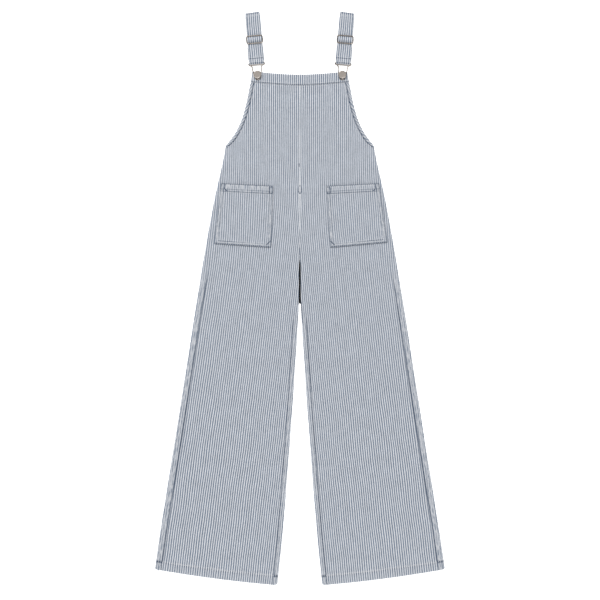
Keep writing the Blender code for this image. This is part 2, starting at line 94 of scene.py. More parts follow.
STRAP_TOP_SHEAR = math.tan(math.radians(3.2))
BUTTON_X = 106 * MM
BUTTON_Y = 558.5 * MM
BUCKLE_WIRE = 1.4 * MM
SLIDER_WIRE = 1.3 * MM
SLIDER_BAR = 1.0 * MM

# Spacing, length and thickness of the hems' stitches
HEM_STITCH = (5.4 * MM, 2.6 * MM, 0.8 * MM)

# Places along a strap, measured from the button up the strap's middle line
BUCKLE_BAR = 29.4 * MM
SLIDER_MIDDLE = 87.8 * MM
SLIDER_HALF_HEIGHT = 9.4 * MM
STRAP_FOLD = 156.0 * MM
STRAP_TAIL = 40 * MM
STRAP_FOLD_BEND = 1.4 * MM
STRAP_STITCH = 40.4 * MM

# Heights above the surface
EDGE_LEVEL = 0.5 * MM
FRONT_LOWER = CLOTH + SEAM_GAP
BAND_LOWER = 0.6 * MM
BAND_UPPER = BAND_LOWER + DOUBLED
BUCKLE_LEVEL = BAND_UPPER + SEAM_GAP + BUCKLE_WIRE
RETURN_LEVEL = 1.5 * STRAP_CLOTH + SEAM_GAP
RUN_LEVEL = 2.5 * STRAP_CLOTH + 2 * SEAM_GAP
SLIDER_LEVEL = RUN_LEVEL + STRAP_CLOTH / 2 + SEAM_GAP + SLIDER_WIRE

# Outline of the front in millimetres: height and half width
ARMHOLE = (
    (565, 118.5), (540, 123.0), (515, 127.8), (475, 136.5), (435, 150.0), (405, 166.3), (381.5, 185.0),
)
SIDE_SEAM = (
    (381.5, 185.0), (345, 191.8), (295, 203.0), (245, 214.0), (195, 223.5), (95, 241.0),
    (-5, 257.5), (-205, 289.0), (-405, 320.5), (-605, 352.5), (-679, 363.0),
)
INSEAM = (
    (90, 0.15), (60, 0.9), (30, 1.8), (0, 2.5), (-30, 3.2), (-60, 4.6), (-105, 7.4),
    (-205, 13.8), (-305, 20.8), (-405, 28.3), (-505, 36.0), (-605, 44.2), (-717.5, 56.0),
)
# Half width of the slit at its top, where the rolled edges draw apart
SLIT = ((98, 0.05), (92, 0.6), (84, 1.7), (70, 2.2), (45, 2.2), (20, 2.25), (0, 2.5))
# Corners of each pocket in millimetres, out from the centre seam and up
Pocket = namedtuple("Pocket", "top_outer top_inner low_inner low_outer")
POCKETS = {
    "left": Pocket((197, 285.8), (66.3, 279.3), (72.0, 126.3), (214.5, 135.8)),
    "right": Pocket((198, 285.8), (65.8, 279.3), (75.5, 126.3), (219.0, 139.0)),
}
# Soft waves of the front over the back, in millimetres and degrees: height, length, turn, phase
WAVES = {
    "left": ((0.5, 260, 25, 0.4), (0.35, 190, 110, 1.9), (0.3, 330, 75, 3.0)),
    "right": ((0.45, 240, 150, 2.2), (0.35, 205, 60, 0.7), (0.35, 310, 100, 4.1)),
}
WAVES_END = (400 * MM, 500 * MM)
BIB_DROP = (490 * MM, 515 * MM)
CROTCH_HUMP = 1.8 * MM
HUMP_HEIGHT = 40 * MM
HUMP_REACH_OUT = 45 * MM
HUMP_REACH_UP = 90 * MM
INSEAM_ROLL = (-60 * MM, -30 * MM)
BINDING_ROLL = (450 * MM, 490 * MM)
SIDE_STRIP = (20 * MM, 90 * MM)
ARMHOLE_ROWS = 9

# How the stripes lie, in millimetres: height, how far the centre stripe has moved out, and the
# spacing of the stripes there
LAY = {
    "left": (
        (565, 0.0, 5.22), (300, 0.0, 5.22), (240, 1.6, 5.24), (180, 6.6, 5.28), (120, 13.4, 5.33),
        (0, 27.9, 5.42), (-200, 52.1, 5.56), (-400, 76.3, 5.69), (-600, 100.5, 5.78), (-720, 115.0, 5.82),
    ),
    "right": (
        (565, 0.0, 5.18), (300, 0.0, 5.18), (240, 1.5, 5.20), (180, 6.0, 5.22), (120, 12.0, 5.25),
        (0, 24.6, 5.32), (-200, 45.6, 5.45), (-400, 66.6, 5.56), (-600, 87.6, 5.66), (-720, 100.0, 5.70),
    ),
}
# The stripes stand closer beside the inseams: how much, and over what distance
CROWDING = 0.09
CROWDING_REACH = 55 * MM

# Creases pressed into the cloth, in millimetres: side, the two ends as out and up, width, height
Crease = namedtuple("Crease", "side start end width height")
CREASES = (
    Crease("left", (120, 262), (205, 246), 7, 0.5),
    Crease("left", (80, 205), (150, 190), 10, 0.55),
    Crease("left", (165, 172), (222, 190), 9, -0.5),
    Crease("left", (10, 60), (95, -20), 16, 0.9),
    Crease("left", (60, 112), (150, 70), 18, -0.7),
    Crease("left", (180, -60), (270, -150), 20, 0.7),
    Crease("left", (90, -330), (210, -360), 26, 0.6),
    Crease("left", (40, 470), (100, 380), 20, -0.45),
    Crease("right", (170, 240), (212, 168), 9, 0.6),
    Crease("right", (95, 235), (160, 215), 10, -0.55),
    Crease("right", (120, 180), (205, 160), 8, 0.5),
    Crease("right", (8, 75), (110, -10), 16, 0.9),
    Crease("right", (80, 110), (190, 30), 16, -0.75),
    Crease("right", (100, 60), (200, 95), 14, 0.6),
    Crease("right", (210, -90), (120, -170), 22, 0.7),
    Crease("right", (150, -420), (260, -380), 26, 0.6),
    Crease("right", (50, 440), (110, 350), 20, 0.45),
)


# ---------------------------------------------------------------- sizes and colours to change


def length_setting(name, description, usual, low, high, precision=4):
    """A length to change, given here in millimetres."""
    return bpy.props.FloatProperty(
        name=name, description=description, default=usual * MM, min=low * MM, max=high * MM,
        subtype="DISTANCE", unit="LENGTH", precision=precision,
    )


def colour_setting(name, description, usual):
    """A colour to change, as linear red, green and blue."""
    return bpy.props.FloatVectorProperty(
        name=name, description=description, default=usual, min=0.0, max=1.0, subtype="COLOR", size=3,
    )


def amount_setting(name, description, usual, most, **units):
    """A share, strength or power to change."""
    return bpy.props.FloatProperty(name=name, description=description, default=usual, min=0.0, max=most, **units)


class ClothSettings(bpy.types.PropertyGroup):
    grid_step: length_setting("Grid Step", "Distance between the rows of a panel's mesh", 3.7, 2, 20)
    crease_strength: amount_setting(
        "Creases", "Depth of the pressed creases, as a share of the usual one", 1.0, 2.0, subtype="FACTOR",
    )
    pucker: length_setting("Puckers", "Height of the puckers along the sewn edges", 0.38, 0, 1)
    shown_gap: length_setting("Seam Gap", "Width of the groove where two pieces meet", 0.12, 0.05, 0.5, 5)
    roll: length_setting("Edge Roll", "Distance over which a turned edge rounds down", 4.2, 1, 8)


class DenimSettings(bpy.types.PropertyGroup):
    stripe: length_setting("Stripe Spacing", "Distance from one blue stripe to the next", 5.4, 1, 50)
    drift: length_setting("Drift", "How far the stripes wander from their even spacing", 3.2, 0, 20)
    blue: colour_setting("Blue Stripe", "Washed blue of the stripes", (0.088, 0.137, 0.210))
    pale: colour_setting("Pale Stripe", "Off-white of the stripes", (0.678, 0.689, 0.720))
    worn: colour_setting("Worn", "Colour of the cloth where it has rubbed", (0.575, 0.592, 0.625))
    # Also the colour of the painted shade beside seams, folds, edges and the pieces that lie on the cloth
    deep: colour_setting("Unfaded", "Colour left in the grooves beside the seams", (0.040, 0.066, 0.115))
    # Painted shade: near-black put where the crotch slit lies in deep shade
    inner: colour_setting("Inside", "Colour deep inside the garment", (0.006, 0.009, 0.014))


class StitchSettings(bpy.types.PropertyGroup):
    pitch: length_setting("Pitch", "Distance from one stitch to the next", 3.2, 1, 10)
    length: length_setting("Length", "Length of a stitch on the face of the cloth", 2.5, 0.5, 9)
    thread: length_setting("Thread", "Thickness of the sewing thread", 0.7, 0.1, 1.5, 5)
    pale_thread: colour_setting("Pale Thread", "Thread of the hems", (0.86, 0.86, 0.86))
    blue_thread: colour_setting(
        "Blue Thread", "Thread of the pockets, the band and the straps", (0.10, 0.135, 0.19),
    )


class HardwareSettings(bpy.types.PropertyGroup):
    button_radius: length_setting("Button Radius", "Radius of a button's head", 9.9, 5, 15)
    nickel: colour_setting("Nickel", "Warm grey of the brushed nickel", (0.270, 0.240, 0.215))
    # Also the colour of the painted highlights on the wires' upper faces and the buttons' lower rims, and of the
    # buttons' paler faces
    highlight_and_face_colour: colour_setting("Polished Nickel", "Where the nickel has rubbed bright", (0.76, 0.69, 0.63))
    tarnish: colour_setting("Tarnish", "Brown left in the nickel's low places", (0.17, 0.135, 0.105))


class StudioSettings(bpy.types.PropertyGroup):
    camera_height: length_setting("Camera Height", "Height of the camera over the garment", 6000, 2000, 20000, 2)
    view_width: length_setting("View Width", "Width of floor that the camera takes in", 1500, 200, 10000, 2)
    surround: amount_setting("Surround", "Strength of the even light from all round", 0.60, 10.0)
    key: amount_setting(
        "Key Light", "Power of the large soft light above the straps", 268.0, 1000.0,
        subtype="POWER", unit="POWER",
    )
    fill: amount_setting(
        "Fill Light", "Power of the low light beyond the hems", 30.0, 1000.0, subtype="POWER", unit="POWER",
    )
    floor_glow: amount_setting(
        "Floor Glow", "Light that the floor gives off, which keeps its shadows pale", 0.7, 10.0,
    )
    floor: colour_setting("Floor", "Colour of the plain floor", (0.93, 0.93, 0.93))


# ---------------------------------------------------------------- outline and levels


def ease(value, start, end):
    """0 at start, 1 at end, with a soft change between."""
    part = np.clip((np.asarray(value, float) - start) / (end - start), 0.0, 1.0)
    return part * part * (3 - 2 * part)


def fading(distance, width, power=2):
    """1 on a line, falling softly to 0 beside it over a width."""
    return np.exp(-((np.abs(distance) / width) ** power))


def rippling(run, spacing, phase):
    """A wave from -1 to 1 whose crests stand this far apart."""
    return np.sin(2 * np.pi * run / spacing + phase)


def run_along(points):
    """Distance of each point along a line of points."""
    return np.concatenate([[0], np.cumsum(np.linalg.norm(np.diff(points, axis=0), axis=1))])


def through(places, values, at):
    """Values on a smooth curve through a table, at rising places."""
    places, values, at = (np.asarray(a, float) for a in (places, values, at))
    slopes = np.gradient(values, places)
    k = np.clip(np.searchsorted(places, at) - 1, 0, len(places) - 2)
    step = places[k + 1] - places[k]
    part = np.clip((at - places[k]) / step, 0.0, 1.0)
    return (
        values[k] * (1 + 2 * part) * (1 - part) ** 2
        + slopes[k] * step * part * (1 - part) ** 2
        + values[k + 1] * part ** 2 * (3 - 2 * part)
        + slopes[k + 1] * step * part ** 2 * (part - 1)
    )


def smooth(table, height, column=1):
    """A column of a table in millimetres, read at a height in metres."""
    rows = np.array(table, float)[::-1] * MM
    return through(rows[:, 0], rows[:, column], height)


def uneven(a, b, seed):
    """Soft irregularity from -1 to 1 over a plane, the same on every run."""
    table = np.random.default_rng(seed).uniform(-1, 1, (64, 64))
    a, b = np.broadcast_arrays(np.asarray(a, float), np.asarray(b, float))
    a0, b0 = np.floor(a).astype(int), np.floor(b).astype(int)
    fa, fb = a - a0, b - b0
    fa, fb = fa * fa * (3 - 2 * fa), fb * fb * (3 - 2 * fb)
    low = table[a0 % 64, b0 % 64] * (1 - fa) + table[(a0 + 1) % 64, b0 % 64] * fa
    high = table[a0 % 64, (b0 + 1) % 64] * (1 - fa) + table[(a0 + 1) % 64, (b0 + 1) % 64] * fa
    return low * (1 - fb) + high * fb


def underside(side, out, height):
    """Height of the front's lower face, at a distance out from the centre seam."""
    level = np.full(np.broadcast(out, height).shape, FRONT_LOWER)
    fade = 1 - ease(height, *WAVES_END)
    for rise, length, turn, start in WAVES[side]:
        along = out * math.cos(math.radians(turn)) + height * math.sin(math.radians(turn))
        level += fade * rise * MM * (1 + rippling(along, length * MM, start)) / 2
    level += ease(height, *BIB_DROP) * (BAND_LOWER - FRONT_LOWER)
    from_hump = (out / HUMP_REACH_OUT) ** 2 + ((height - HUMP_HEIGHT) / HUMP_REACH_UP) ** 2
    return level + CROTCH_HUMP * np.exp(-from_hump)


def creasing(side, out, height):
    """Rise of the pressed creases of one side."""
    strength = bpy.context.scene.dungaree_cloth.crease_strength
    total = np.zeros(np.broadcast(out, height).shape)
    for k, crease in enumerate(CREASES):
        if crease.side != side:
            continue
        start, end = np.array(crease.start) * MM, np.array(crease.end) * MM
        length = np.linalg.norm(end - start)
        along, beside = (end - start) / length, np.array([start[1] - end[1], end[0] - start[0]]) / length
        run = ((out - start[0]) * along[0] + (height - start[1]) * along[1]) / length
        off = (out - start[0]) * beside[0] + (height - start[1]) * beside[1]
        off = off + 0.25 * crease.width * MM * uneven(run * 4, run * 0 + k, 11 + k)
        ends = ease(run, -0.15, 0.3) * (1 - ease(run, 0.7, 1.15))
        total += crease.height * MM * ends * fading(off, crease.width * MM)
    return strength * total


def dipping(part):
    """How far the band dips at a part of its half width, from 1 in the middle to 0 at its ends."""
    return np.clip(1 - part * part, 0, 1) ** BAND_BOW


def band_line(out):
    """Height of the band's lower edge, which dips towards the middle."""
    edge = smooth(ARMHOLE, BAND_TOP - BAND_DEPTH)
    return BAND_TOP - BAND_DEPTH - BAND_SAG * dipping(out / edge)


def armhole_stations():
    """Outer and inner edges of the binding, from the band's lower edge to the side seam."""
    top = BAND_TOP - BAND_DEPTH - SEAM_GAP
    fine = np.linspace(top, ARMHOLE[-1][0] * MM, 201)
    curve = np.stack([smooth(ARMHOLE, fine), fine], -1)
    run = run_along(curve)
    outer, inner = [], []
    for k in range(ARMHOLE_ROWS + 1):
        place = min(int(np.searchsorted(run, run[-1] * k / ARMHOLE_ROWS)), len(run) - 1)
        along = curve[min(place + 1, len(run) - 1)] - curve[max(place - 1, 0)]
        along /= np.linalg.norm(along)
        outer.append(curve[place])
        inner.append(curve[place] + np.array([along[1], -along[0]]) * BINDING_WIDTH)
    inner[0] = outer[0] - np.array([BINDING_WIDTH, 0.0])
    inner[0][1] = band_line(inner[0][0]) - SEAM_GAP
    low = outer[-1][1] - 0.95 * BINDING_WIDTH
    inner[-1] = np.array([float(smooth(SIDE_SEAM, low)), low])
    return np.array(outer), np.array(inner)


def armhole_edges(count):
    """The binding's two edges as finely as asked."""
    outer, inner = armhole_stations()
    stations = np.arange(ARMHOLE_ROWS + 1.0)
    at = np.linspace(0, ARMHOLE_ROWS, count)
    return [np.stack([through(stations, edge[:, n], at) for n in (0, 1)], -1) for edge in (outer, inner)]


def leg_ends(height):
    """Ends and dip of rows that start at these heights on the inner edge and turn with the leg."""
    below = np.clip((CROTCH_HEIGHT - height) / (CROTCH_HEIGHT + TOTAL_LENGTH / 2), 0, None)
    outer = height + HEM_RISE * below
    return outer, smooth(INSEAM, height), smooth(SIDE_SEAM, outer), HEM_BULGE * below ** 2


def stripe_place(side, out, height, crowd):
    """Distance across the stripes, so that one stripe is always the same width of it."""
    spacing = bpy.context.scene.dungaree_denim.stripe
    table = LAY[side]
    shift = smooth(table, height, 1)
    local = smooth(table, height, 2)
    across = out - shift
    if crowd:
        inner = smooth(INSEAM, np.minimum(height, CROTCH_HEIGHT))
        near = CROWDING * (1 - ease(height, 60 * MM, 220 * MM))
        across = across + near * CROWDING_REACH * np.tanh((out - inner) / CROWDING_REACH)
    return across * spacing / local


Surface = namedtuple("Surface", "points wall grain marks")


def front_rows(step):
    """Rows of a front panel: height and distance out at both ends, bow, dip, height over the hem."""
    gap = bpy.context.scene.dungaree_cloth.shown_gap
    outer, inner = armhole_edges(int(215 * MM / step) + 1)
    top = inner[0, 1]
    sag = band_line(inner[0, 0]) - band_line(0.0)
    high = inner[:, 1] - gap
    dip = sag * ease(inner[:, 1], BIB_BOW_END, top)
    out = inner[:, 0] - gap
    out[-1] = smooth(SIDE_SEAM, high[-1])
    bib = np.stack([high - dip, high, np.full_like(out, gap / 2), out, np.ones_like(out), 0 * out], -1)
    lowest = -TOTAL_LENGTH / 2
    close = np.array([34, 30.5, 27.5, 25.5, 24.2, 23.5, 23, 22.5, 21, 18, 15, 12, 9, 6, 3.5, 1.8, 0.7, 0]) * MM
    marks = [high[-1], CROTCH_HEIGHT, BACK_CROTCH_HEIGHT, lowest + close[0]]
    heights = [
        np.linspace(a, b, int((a - b) / step) + 1, endpoint=False) for a, b in zip(marks, marks[1:])
    ]
    heights = np.concatenate([*heights, lowest + close])[1:]
    ends, inside, outside, bulge = leg_ends(heights)
    inside = np.where(heights > 0, smooth(SLIT, np.minimum(heights, SLIT[0][0] * MM)), inside)
    # The corners of the hem are a little rounded
    into_corner = np.clip(HEM_CORNER - (heights - lowest), 0, None)
    cut = HEM_CORNER - np.sqrt(np.clip(HEM_CORNER ** 2 - into_corner ** 2, 0, None))
    inside, outside = inside + cut, outside - cut
    leg = np.stack([heights, ends, inside, outside, 0 * inside, bulge], -1)
    return np.concatenate([bib, leg]), len(bib)


def row_points(rows, parts):
    """Distances out and heights of the points at these parts of each row."""
    inner, outer, inside, outside, bowed, dip = (rows[:, n, None] for n in range(6))
    out = inside + (outside - inside) * parts
    edge = smooth(ARMHOLE, BAND_TOP - BAND_DEPTH)
    whole = (edge - BINDING_WIDTH) / edge
    bow = inner + (outer - inner) * (1 - dipping(parts * whole)) / (1 - dipping(whole))
    straight = inner + (outer - inner) * parts - dip * 4 * parts * (1 - parts)
    return out, np.where(bowed > 0.5, bow, straight)


def rolled(distance, roll):
    """Height of a turned edge as a share of the full one, at a distance in from it."""
    return np.sqrt(np.clip(1 - np.clip(1 - distance / roll, 0, 1) ** 2, 0, 1))


def front_surface(side, step):
    cloth = bpy.context.scene.dungaree_cloth
    rows, bib_count = front_rows(step)
    roll = cloth.roll
    near = roll * (1 - np.cos(np.radians([0, 15, 30, 45, 60, 75, 90])))
    inner = np.concatenate([near, np.array([6, 8, 9.6, 11, 12, 13.5]) * MM])
    outer = np.concatenate([near, np.array([6, 8, 10.5, 13, 15, 16, 17.5]) * MM])
    width = (rows[:, 3] - rows[:, 2])[:, None]
    first, last = inner[-1] / width, 1 - outer[-1] / width
    count = int(280 * MM / step)
    middle = first + (last - first) * np.arange(1, count + 1) / (count + 1)
    parts = np.concatenate([inner / width, middle, (1 - outer / width)[:, ::-1]], axis=1)
    out, height = row_points(rows, parts)
    from_in, from_out = parts * width, (1 - parts) * width
    above = np.broadcast_to(rows[:, 0, None] + TOTAL_LENGTH / 2, out.shape)
    leg = np.ones(len(rows))
    leg[:bib_count] = 0
    index = np.arange(len(rows))
    outward = ease(index, bib_count - 4, bib_count - 1)[:, None]
    inward = (1 - ease(rows[:, 0], *INSEAM_ROLL))[:, None]

    hem_fold = 1 - ease(above, HEM_DEPTH + 0.3 * MM, HEM_DEPTH + STEP_WIDTH)
    strip = (1 - ease(height, *SIDE_STRIP)) * leg[:, None]
    side_fold = (1 - ease(from_out, SIDE_ALLOWANCE, SIDE_ALLOWANCE + STEP_WIDTH)) * strip
    seam = ease(-rows[:, 0], 20 * MM, 70 * MM)[:, None] * np.ones_like(out)
    inseam_fold = (1 - ease(from_in, INSEAM_ALLOWANCE, INSEAM_ALLOWANCE + STEP_WIDTH)) * seam
    fold = np.maximum(np.maximum(hem_fold, side_fold), inseam_fold)
    wall = CLOTH + (DOUBLED - CLOTH) * fold

    seed = 40 if side == "left" else 60
    lift = (DOUBLED - CLOTH) * (1 - ease(above, HEM_DEPTH, 2 * HEM_DEPTH))
    top = underside(side, out, height) + lift + wall + creasing(side, out, height)
    # Puckers: slanting ones in the hem, short cross ones in the seam strips and along the armhole
    turn = uneven(out / (14 * MM), above / (30 * MM), seed)
    rope = rippling(out + 0.55 * above, 9.6 * MM, 2.2 * turn)
    inside_hem = np.sin(np.pi * np.clip(above / HEM_DEPTH, 0, 1)) * (above < HEM_DEPTH)
    top = top + cloth.pucker * 0.9 * rope * inside_hem
    drift = uneven(height / (16 * MM), out / (60 * MM), seed + 1)
    cross = rippling(height + 0.5 * from_out, 12.5 * MM, 2.6 * drift)
    size = 0.5 + 0.5 * uneven(height / (45 * MM), out * 0, seed + 2)
    top = top + cloth.pucker * 1.25 * size * cross * strip * np.exp(-((from_out - 9 * MM) / (5.5 * MM)) ** 2)
    cross = rippling(height - 0.5 * from_in, 11.5 * MM, 2.6 * drift)
    top = top + cloth.pucker * 1.1 * size * cross * seam * np.exp(-((from_in - 7 * MM) / (4 * MM)) ** 2)
    beside = (1 - outward) * fading(from_out, 5 * MM) * (above > 0.9)
    top = top + cloth.pucker * 0.6 * rippling(height, 8.2 * MM, 2 * drift) * beside
    centre = fading(from_in, 4.5 * MM) * ease(rows[:, 0], 60 * MM, 130 * MM)[:, None]
    top = top + cloth.pucker * 0.3 * rippling(height, 9.4 * MM, 2.4 * drift) * centre

    share = (1 - inward * (1 - rolled(from_in, roll))) * (1 - outward * (1 - rolled(from_out, roll)))
    top = EDGE_LEVEL + (top - EDGE_LEVEL) * share

    far = 9 * MM
    # Lines that the material darkens: the seam furrows, partly unfaded cloth, and painted shade beside the
    # binding, under the band and along the crotch
    lines = [
        np.abs(above - HEM_DEPTH) + 1.2 * MM,
        np.abs(from_out - SIDE_ALLOWANCE - 1 * MM) + far * (1 - strip) ** 2,
        np.abs(from_in - INSEAM_ALLOWANCE - 1 * MM) + far * (1 - seam) ** 2,
        from_in + far * (1 - ease(rows[:, 0], CROTCH_HEIGHT - 40 * MM, CROTCH_HEIGHT))[:, None]
        + 2.2 * MM * ease(rows[:, 0], CROTCH_HEIGHT + 10 * MM, CROTCH_HEIGHT + 70 * MM)[:, None],
        from_out + far * outward,
        np.broadcast_to((index * step)[:, None], out.shape),
    ]
    strips = np.maximum(side_fold, inseam_fold)
    rubbed = strips * rolled(np.minimum(from_in, from_out), 3 * MM)
    edge = np.exp(-above / (2.2 * MM))
    corner = hem_fold * strips
    high = ease(height, 150 * MM, 200 * MM) * (1 - ease(height, 400 * MM, 440 * MM))
    middle_seam = fading(from_in, 1.5 * MM) * high
    hem_line = fading(above - HEM_DEPTH - 0.6 * MM, 1.5 * MM, 4)
    hem_groove = fading(above - HEM_DEPTH + 3.2 * MM, 1.7 * MM, 4)
    strip_line = fading(from_out - SIDE_ALLOWANCE - 1 * MM, 1.7 * MM, 3) * strip
    strip_line = strip_line * (0.45 + 0.55 * (0.5 + 0.5 * uneven(height / (50 * MM), out * 0, seed + 5)))
    inseam_line = fading(from_in - INSEAM_ALLOWANCE - 1 * MM, 1.5 * MM, 3) * seam
    inseam_line = inseam_line * (0.2 + 0.45 * (0.5 + 0.5 * uneven(height / (50 * MM), out * 0, seed + 6)))
    hem_ends = fading(above - HEM_DEPTH + 0.8 * MM, 2.8 * MM, 4) * strips
    marks = {
        "from_line": np.minimum.reduce([np.broadcast_to(a, out.shape) for a in lines]) / MM,
        "sewn": (0.5 * hem_line + 0.6 * hem_groove) * (1 - 0.8 * strips),
        # seam_line: dark lines along the steps of the turned allowances and the hem, partly painted shade
        "seam_line": np.clip(
            np.maximum(strip_line, inseam_line) * (above > HEM_DEPTH) + hem_ends + 0.26 * hem_groove, 0, 1,
        ),
        "pale_line": np.maximum(middle_seam, 0.26 * hem_line * (1 - strips)),
        "rubbed": np.clip(rubbed * (1 - 0.5 * inseam_fold) + 0.7 * edge + 0.7 * corner + 0.12 * hem_fold, 0, 1.4),
        # inside: near-black painted shade along the inner edges beside the crotch slit
        "inside": fading(from_in, 0.3 * MM) * ease(height, -16 * MM, -8 * MM)
        * (1 - ease(height, CROTCH_HEIGHT, CROTCH_HEIGHT + 14 * MM)),
    }
    grain = np.stack([stripe_place(side, out, height, True), height], -1)
    points = np.stack([SIDES[side] * out, height, top], -1)
    return Surface(points, wall, grain, marks), (from_in, from_out, above)


def front_top(side, out, height):
    """Height of the front's upper face away from its edges."""
    return underside(side, out, height) + CLOTH + creasing(side, out, height)


# ---------------------------------------------------------------- making pieces


def give(piece, node, finish):
    """Puts a finished piece on the garment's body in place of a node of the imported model."""
    piece.data.materials.clear()
    piece.data.materials.append(finish)
    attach(piece, "root")
    if node:
        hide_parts(node)
    return piece


def new_object(name, mesh):
    piece = bpy.data.objects.new(name, mesh)
    bpy.context.scene.collection.objects.link(piece)
    return piece


def cloth_piece(name, surface, down=True, bevel=0.45 * MM):
    """A sheet of cloth: a grid laid on its upper face point by point, with its wall below."""
    points, wall = surface.points, surface.wall
    rows, columns = points.shape[:2]
    flip = points[rows // 2, 0, 0] > points[rows // 2, -1, 0]
    mesh = bpy.data.meshes.new(name)
    grid = bmesh.new()
    bmesh.ops.create_grid(grid, x_segments=columns - 1, y_segments=rows - 1, size=1.0)
    grid.to_mesh(mesh)
    grid.free()
    flat = np.zeros(len(mesh.vertices) * 3)
    mesh.vertices.foreach_get("co", flat)
    flat = flat.reshape(-1, 3)
    i = np.rint((flat[:, 0] + 1) / 2 * (columns - 1)).astype(int)
    j = np.rint((1 - flat[:, 1]) / 2 * (rows - 1)).astype(int)
    if flip:
        i = columns - 1 - i
    mesh.vertices.foreach_set("co", points[j, i].ravel())
    for key, values in surface.marks.items():
        layer = mesh.attributes.new(key, "FLOAT", "POINT")
        layer.data.foreach_set("value", values[j, i].astype(np.float32))
    corners = np.zeros(len(mesh.loops), int)
    mesh.loops.foreach_get("vertex_index", corners)
    unwrapped = mesh.uv_layers.new(name="grain")
    unwrapped.uv.foreach_set("vector", surface.grain[j, i][corners].astype(np.float32).ravel())
    mesh.shade_smooth()
    mesh.update()
    piece = new_object(name, mesh)
    thickest, thinnest = float(wall.max()), float(wall.min())
    solid = piece.modifiers.new("Wall", "SOLIDIFY")
    solid.thickness = thickest
    solid.offset = -1.0 if down else 0.0
    solid.use_even_offset = not down
    if thickest - thinnest > 0.01 * MM:
        group = piece.vertex_groups.new(name="wall")
        extra = (wall[j, i] - thinnest) / (thickest - thinnest)
        for step in range(1, 33):
            chosen = np.nonzero(np.rint(extra * 32).astype(int) == step)[0]
            if len(chosen):
                group.add(chosen.tolist(), step / 32, "REPLACE")
        solid.vertex_group = group.name
        solid.thickness_vertex_group = thinnest / thickest
    rounded = piece.modifiers.new("Rounded Edge", "BEVEL")
    rounded.width = bevel
    rounded.segments = 2
    rounded.limit_method = "ANGLE"
    rounded.angle_limit = math.radians(60)
    rounded.use_clamp_overlap = True
    return piece


def one_stitch():
    """Corners and faces of a rounded stitch of unit size."""
    shape = bmesh.new()
    bmesh.ops.create_uvsphere(shape, u_segments=6, v_segments=5, radius=1.0)
    corners = np.array([v.co for v in shape.verts])
    faces = [[v.index for v in face.verts] for face in shape.faces]
    shape.free()
    return corners, faces


def stitch_run(line, pitch, length, thickness):
    """Middle and half axes of the stitches along a line, each sunk a little into the cloth."""
    line = np.asarray(line, float)
    run = run_along(line)
    count = max(int(run[-1] / pitch), 1)
    for n, place in enumerate((np.arange(count) + 0.5) * run[-1] / count):
        middle, ahead, behind = (
            np.array([np.interp(place + shift, run, line[:, axis]) for axis in range(3)])
            for shift in (0.0, 0.35 * pitch, -0.35 * pitch)
        )
        along = Vector(ahead - behind).normalized()
        across = along.cross(Vector((0, 0, 1))).normalized()
        up = across.cross(along)
        wander = 0.1 * thickness * math.sin(n * 2.4)
        centre = Vector(middle) + up * 0.12 * thickness + across * wander
        yield np.array(centre), np.array([across * thickness / 2, up * thickness * 0.45, along * length / 2])


def stitching(name, lines, finish, pitch=None, length=None, thickness=None):
    """All the stitches of one piece of cloth, along lines of points on its face."""
    stitch = bpy.context.scene.dungaree_stitch
    sizes = (pitch or stitch.pitch, length or stitch.length, thickness or stitch.thread)
    corners, faces = one_stitch()
    places = [place for line in lines for place in stitch_run(line, *sizes)]
    points = np.concatenate([centre + corners @ axes for centre, axes in places])
    every = [[k + n * len(corners) for k in face] for n in range(len(places)) for face in faces]
    mesh = bpy.data.meshes.new(name)
    mesh.from_pydata(points.tolist(), [], every)
    mesh.shade_smooth()
    return give(new_object(name, mesh), None, finish)


# ---------------------------------------------------------------- materials


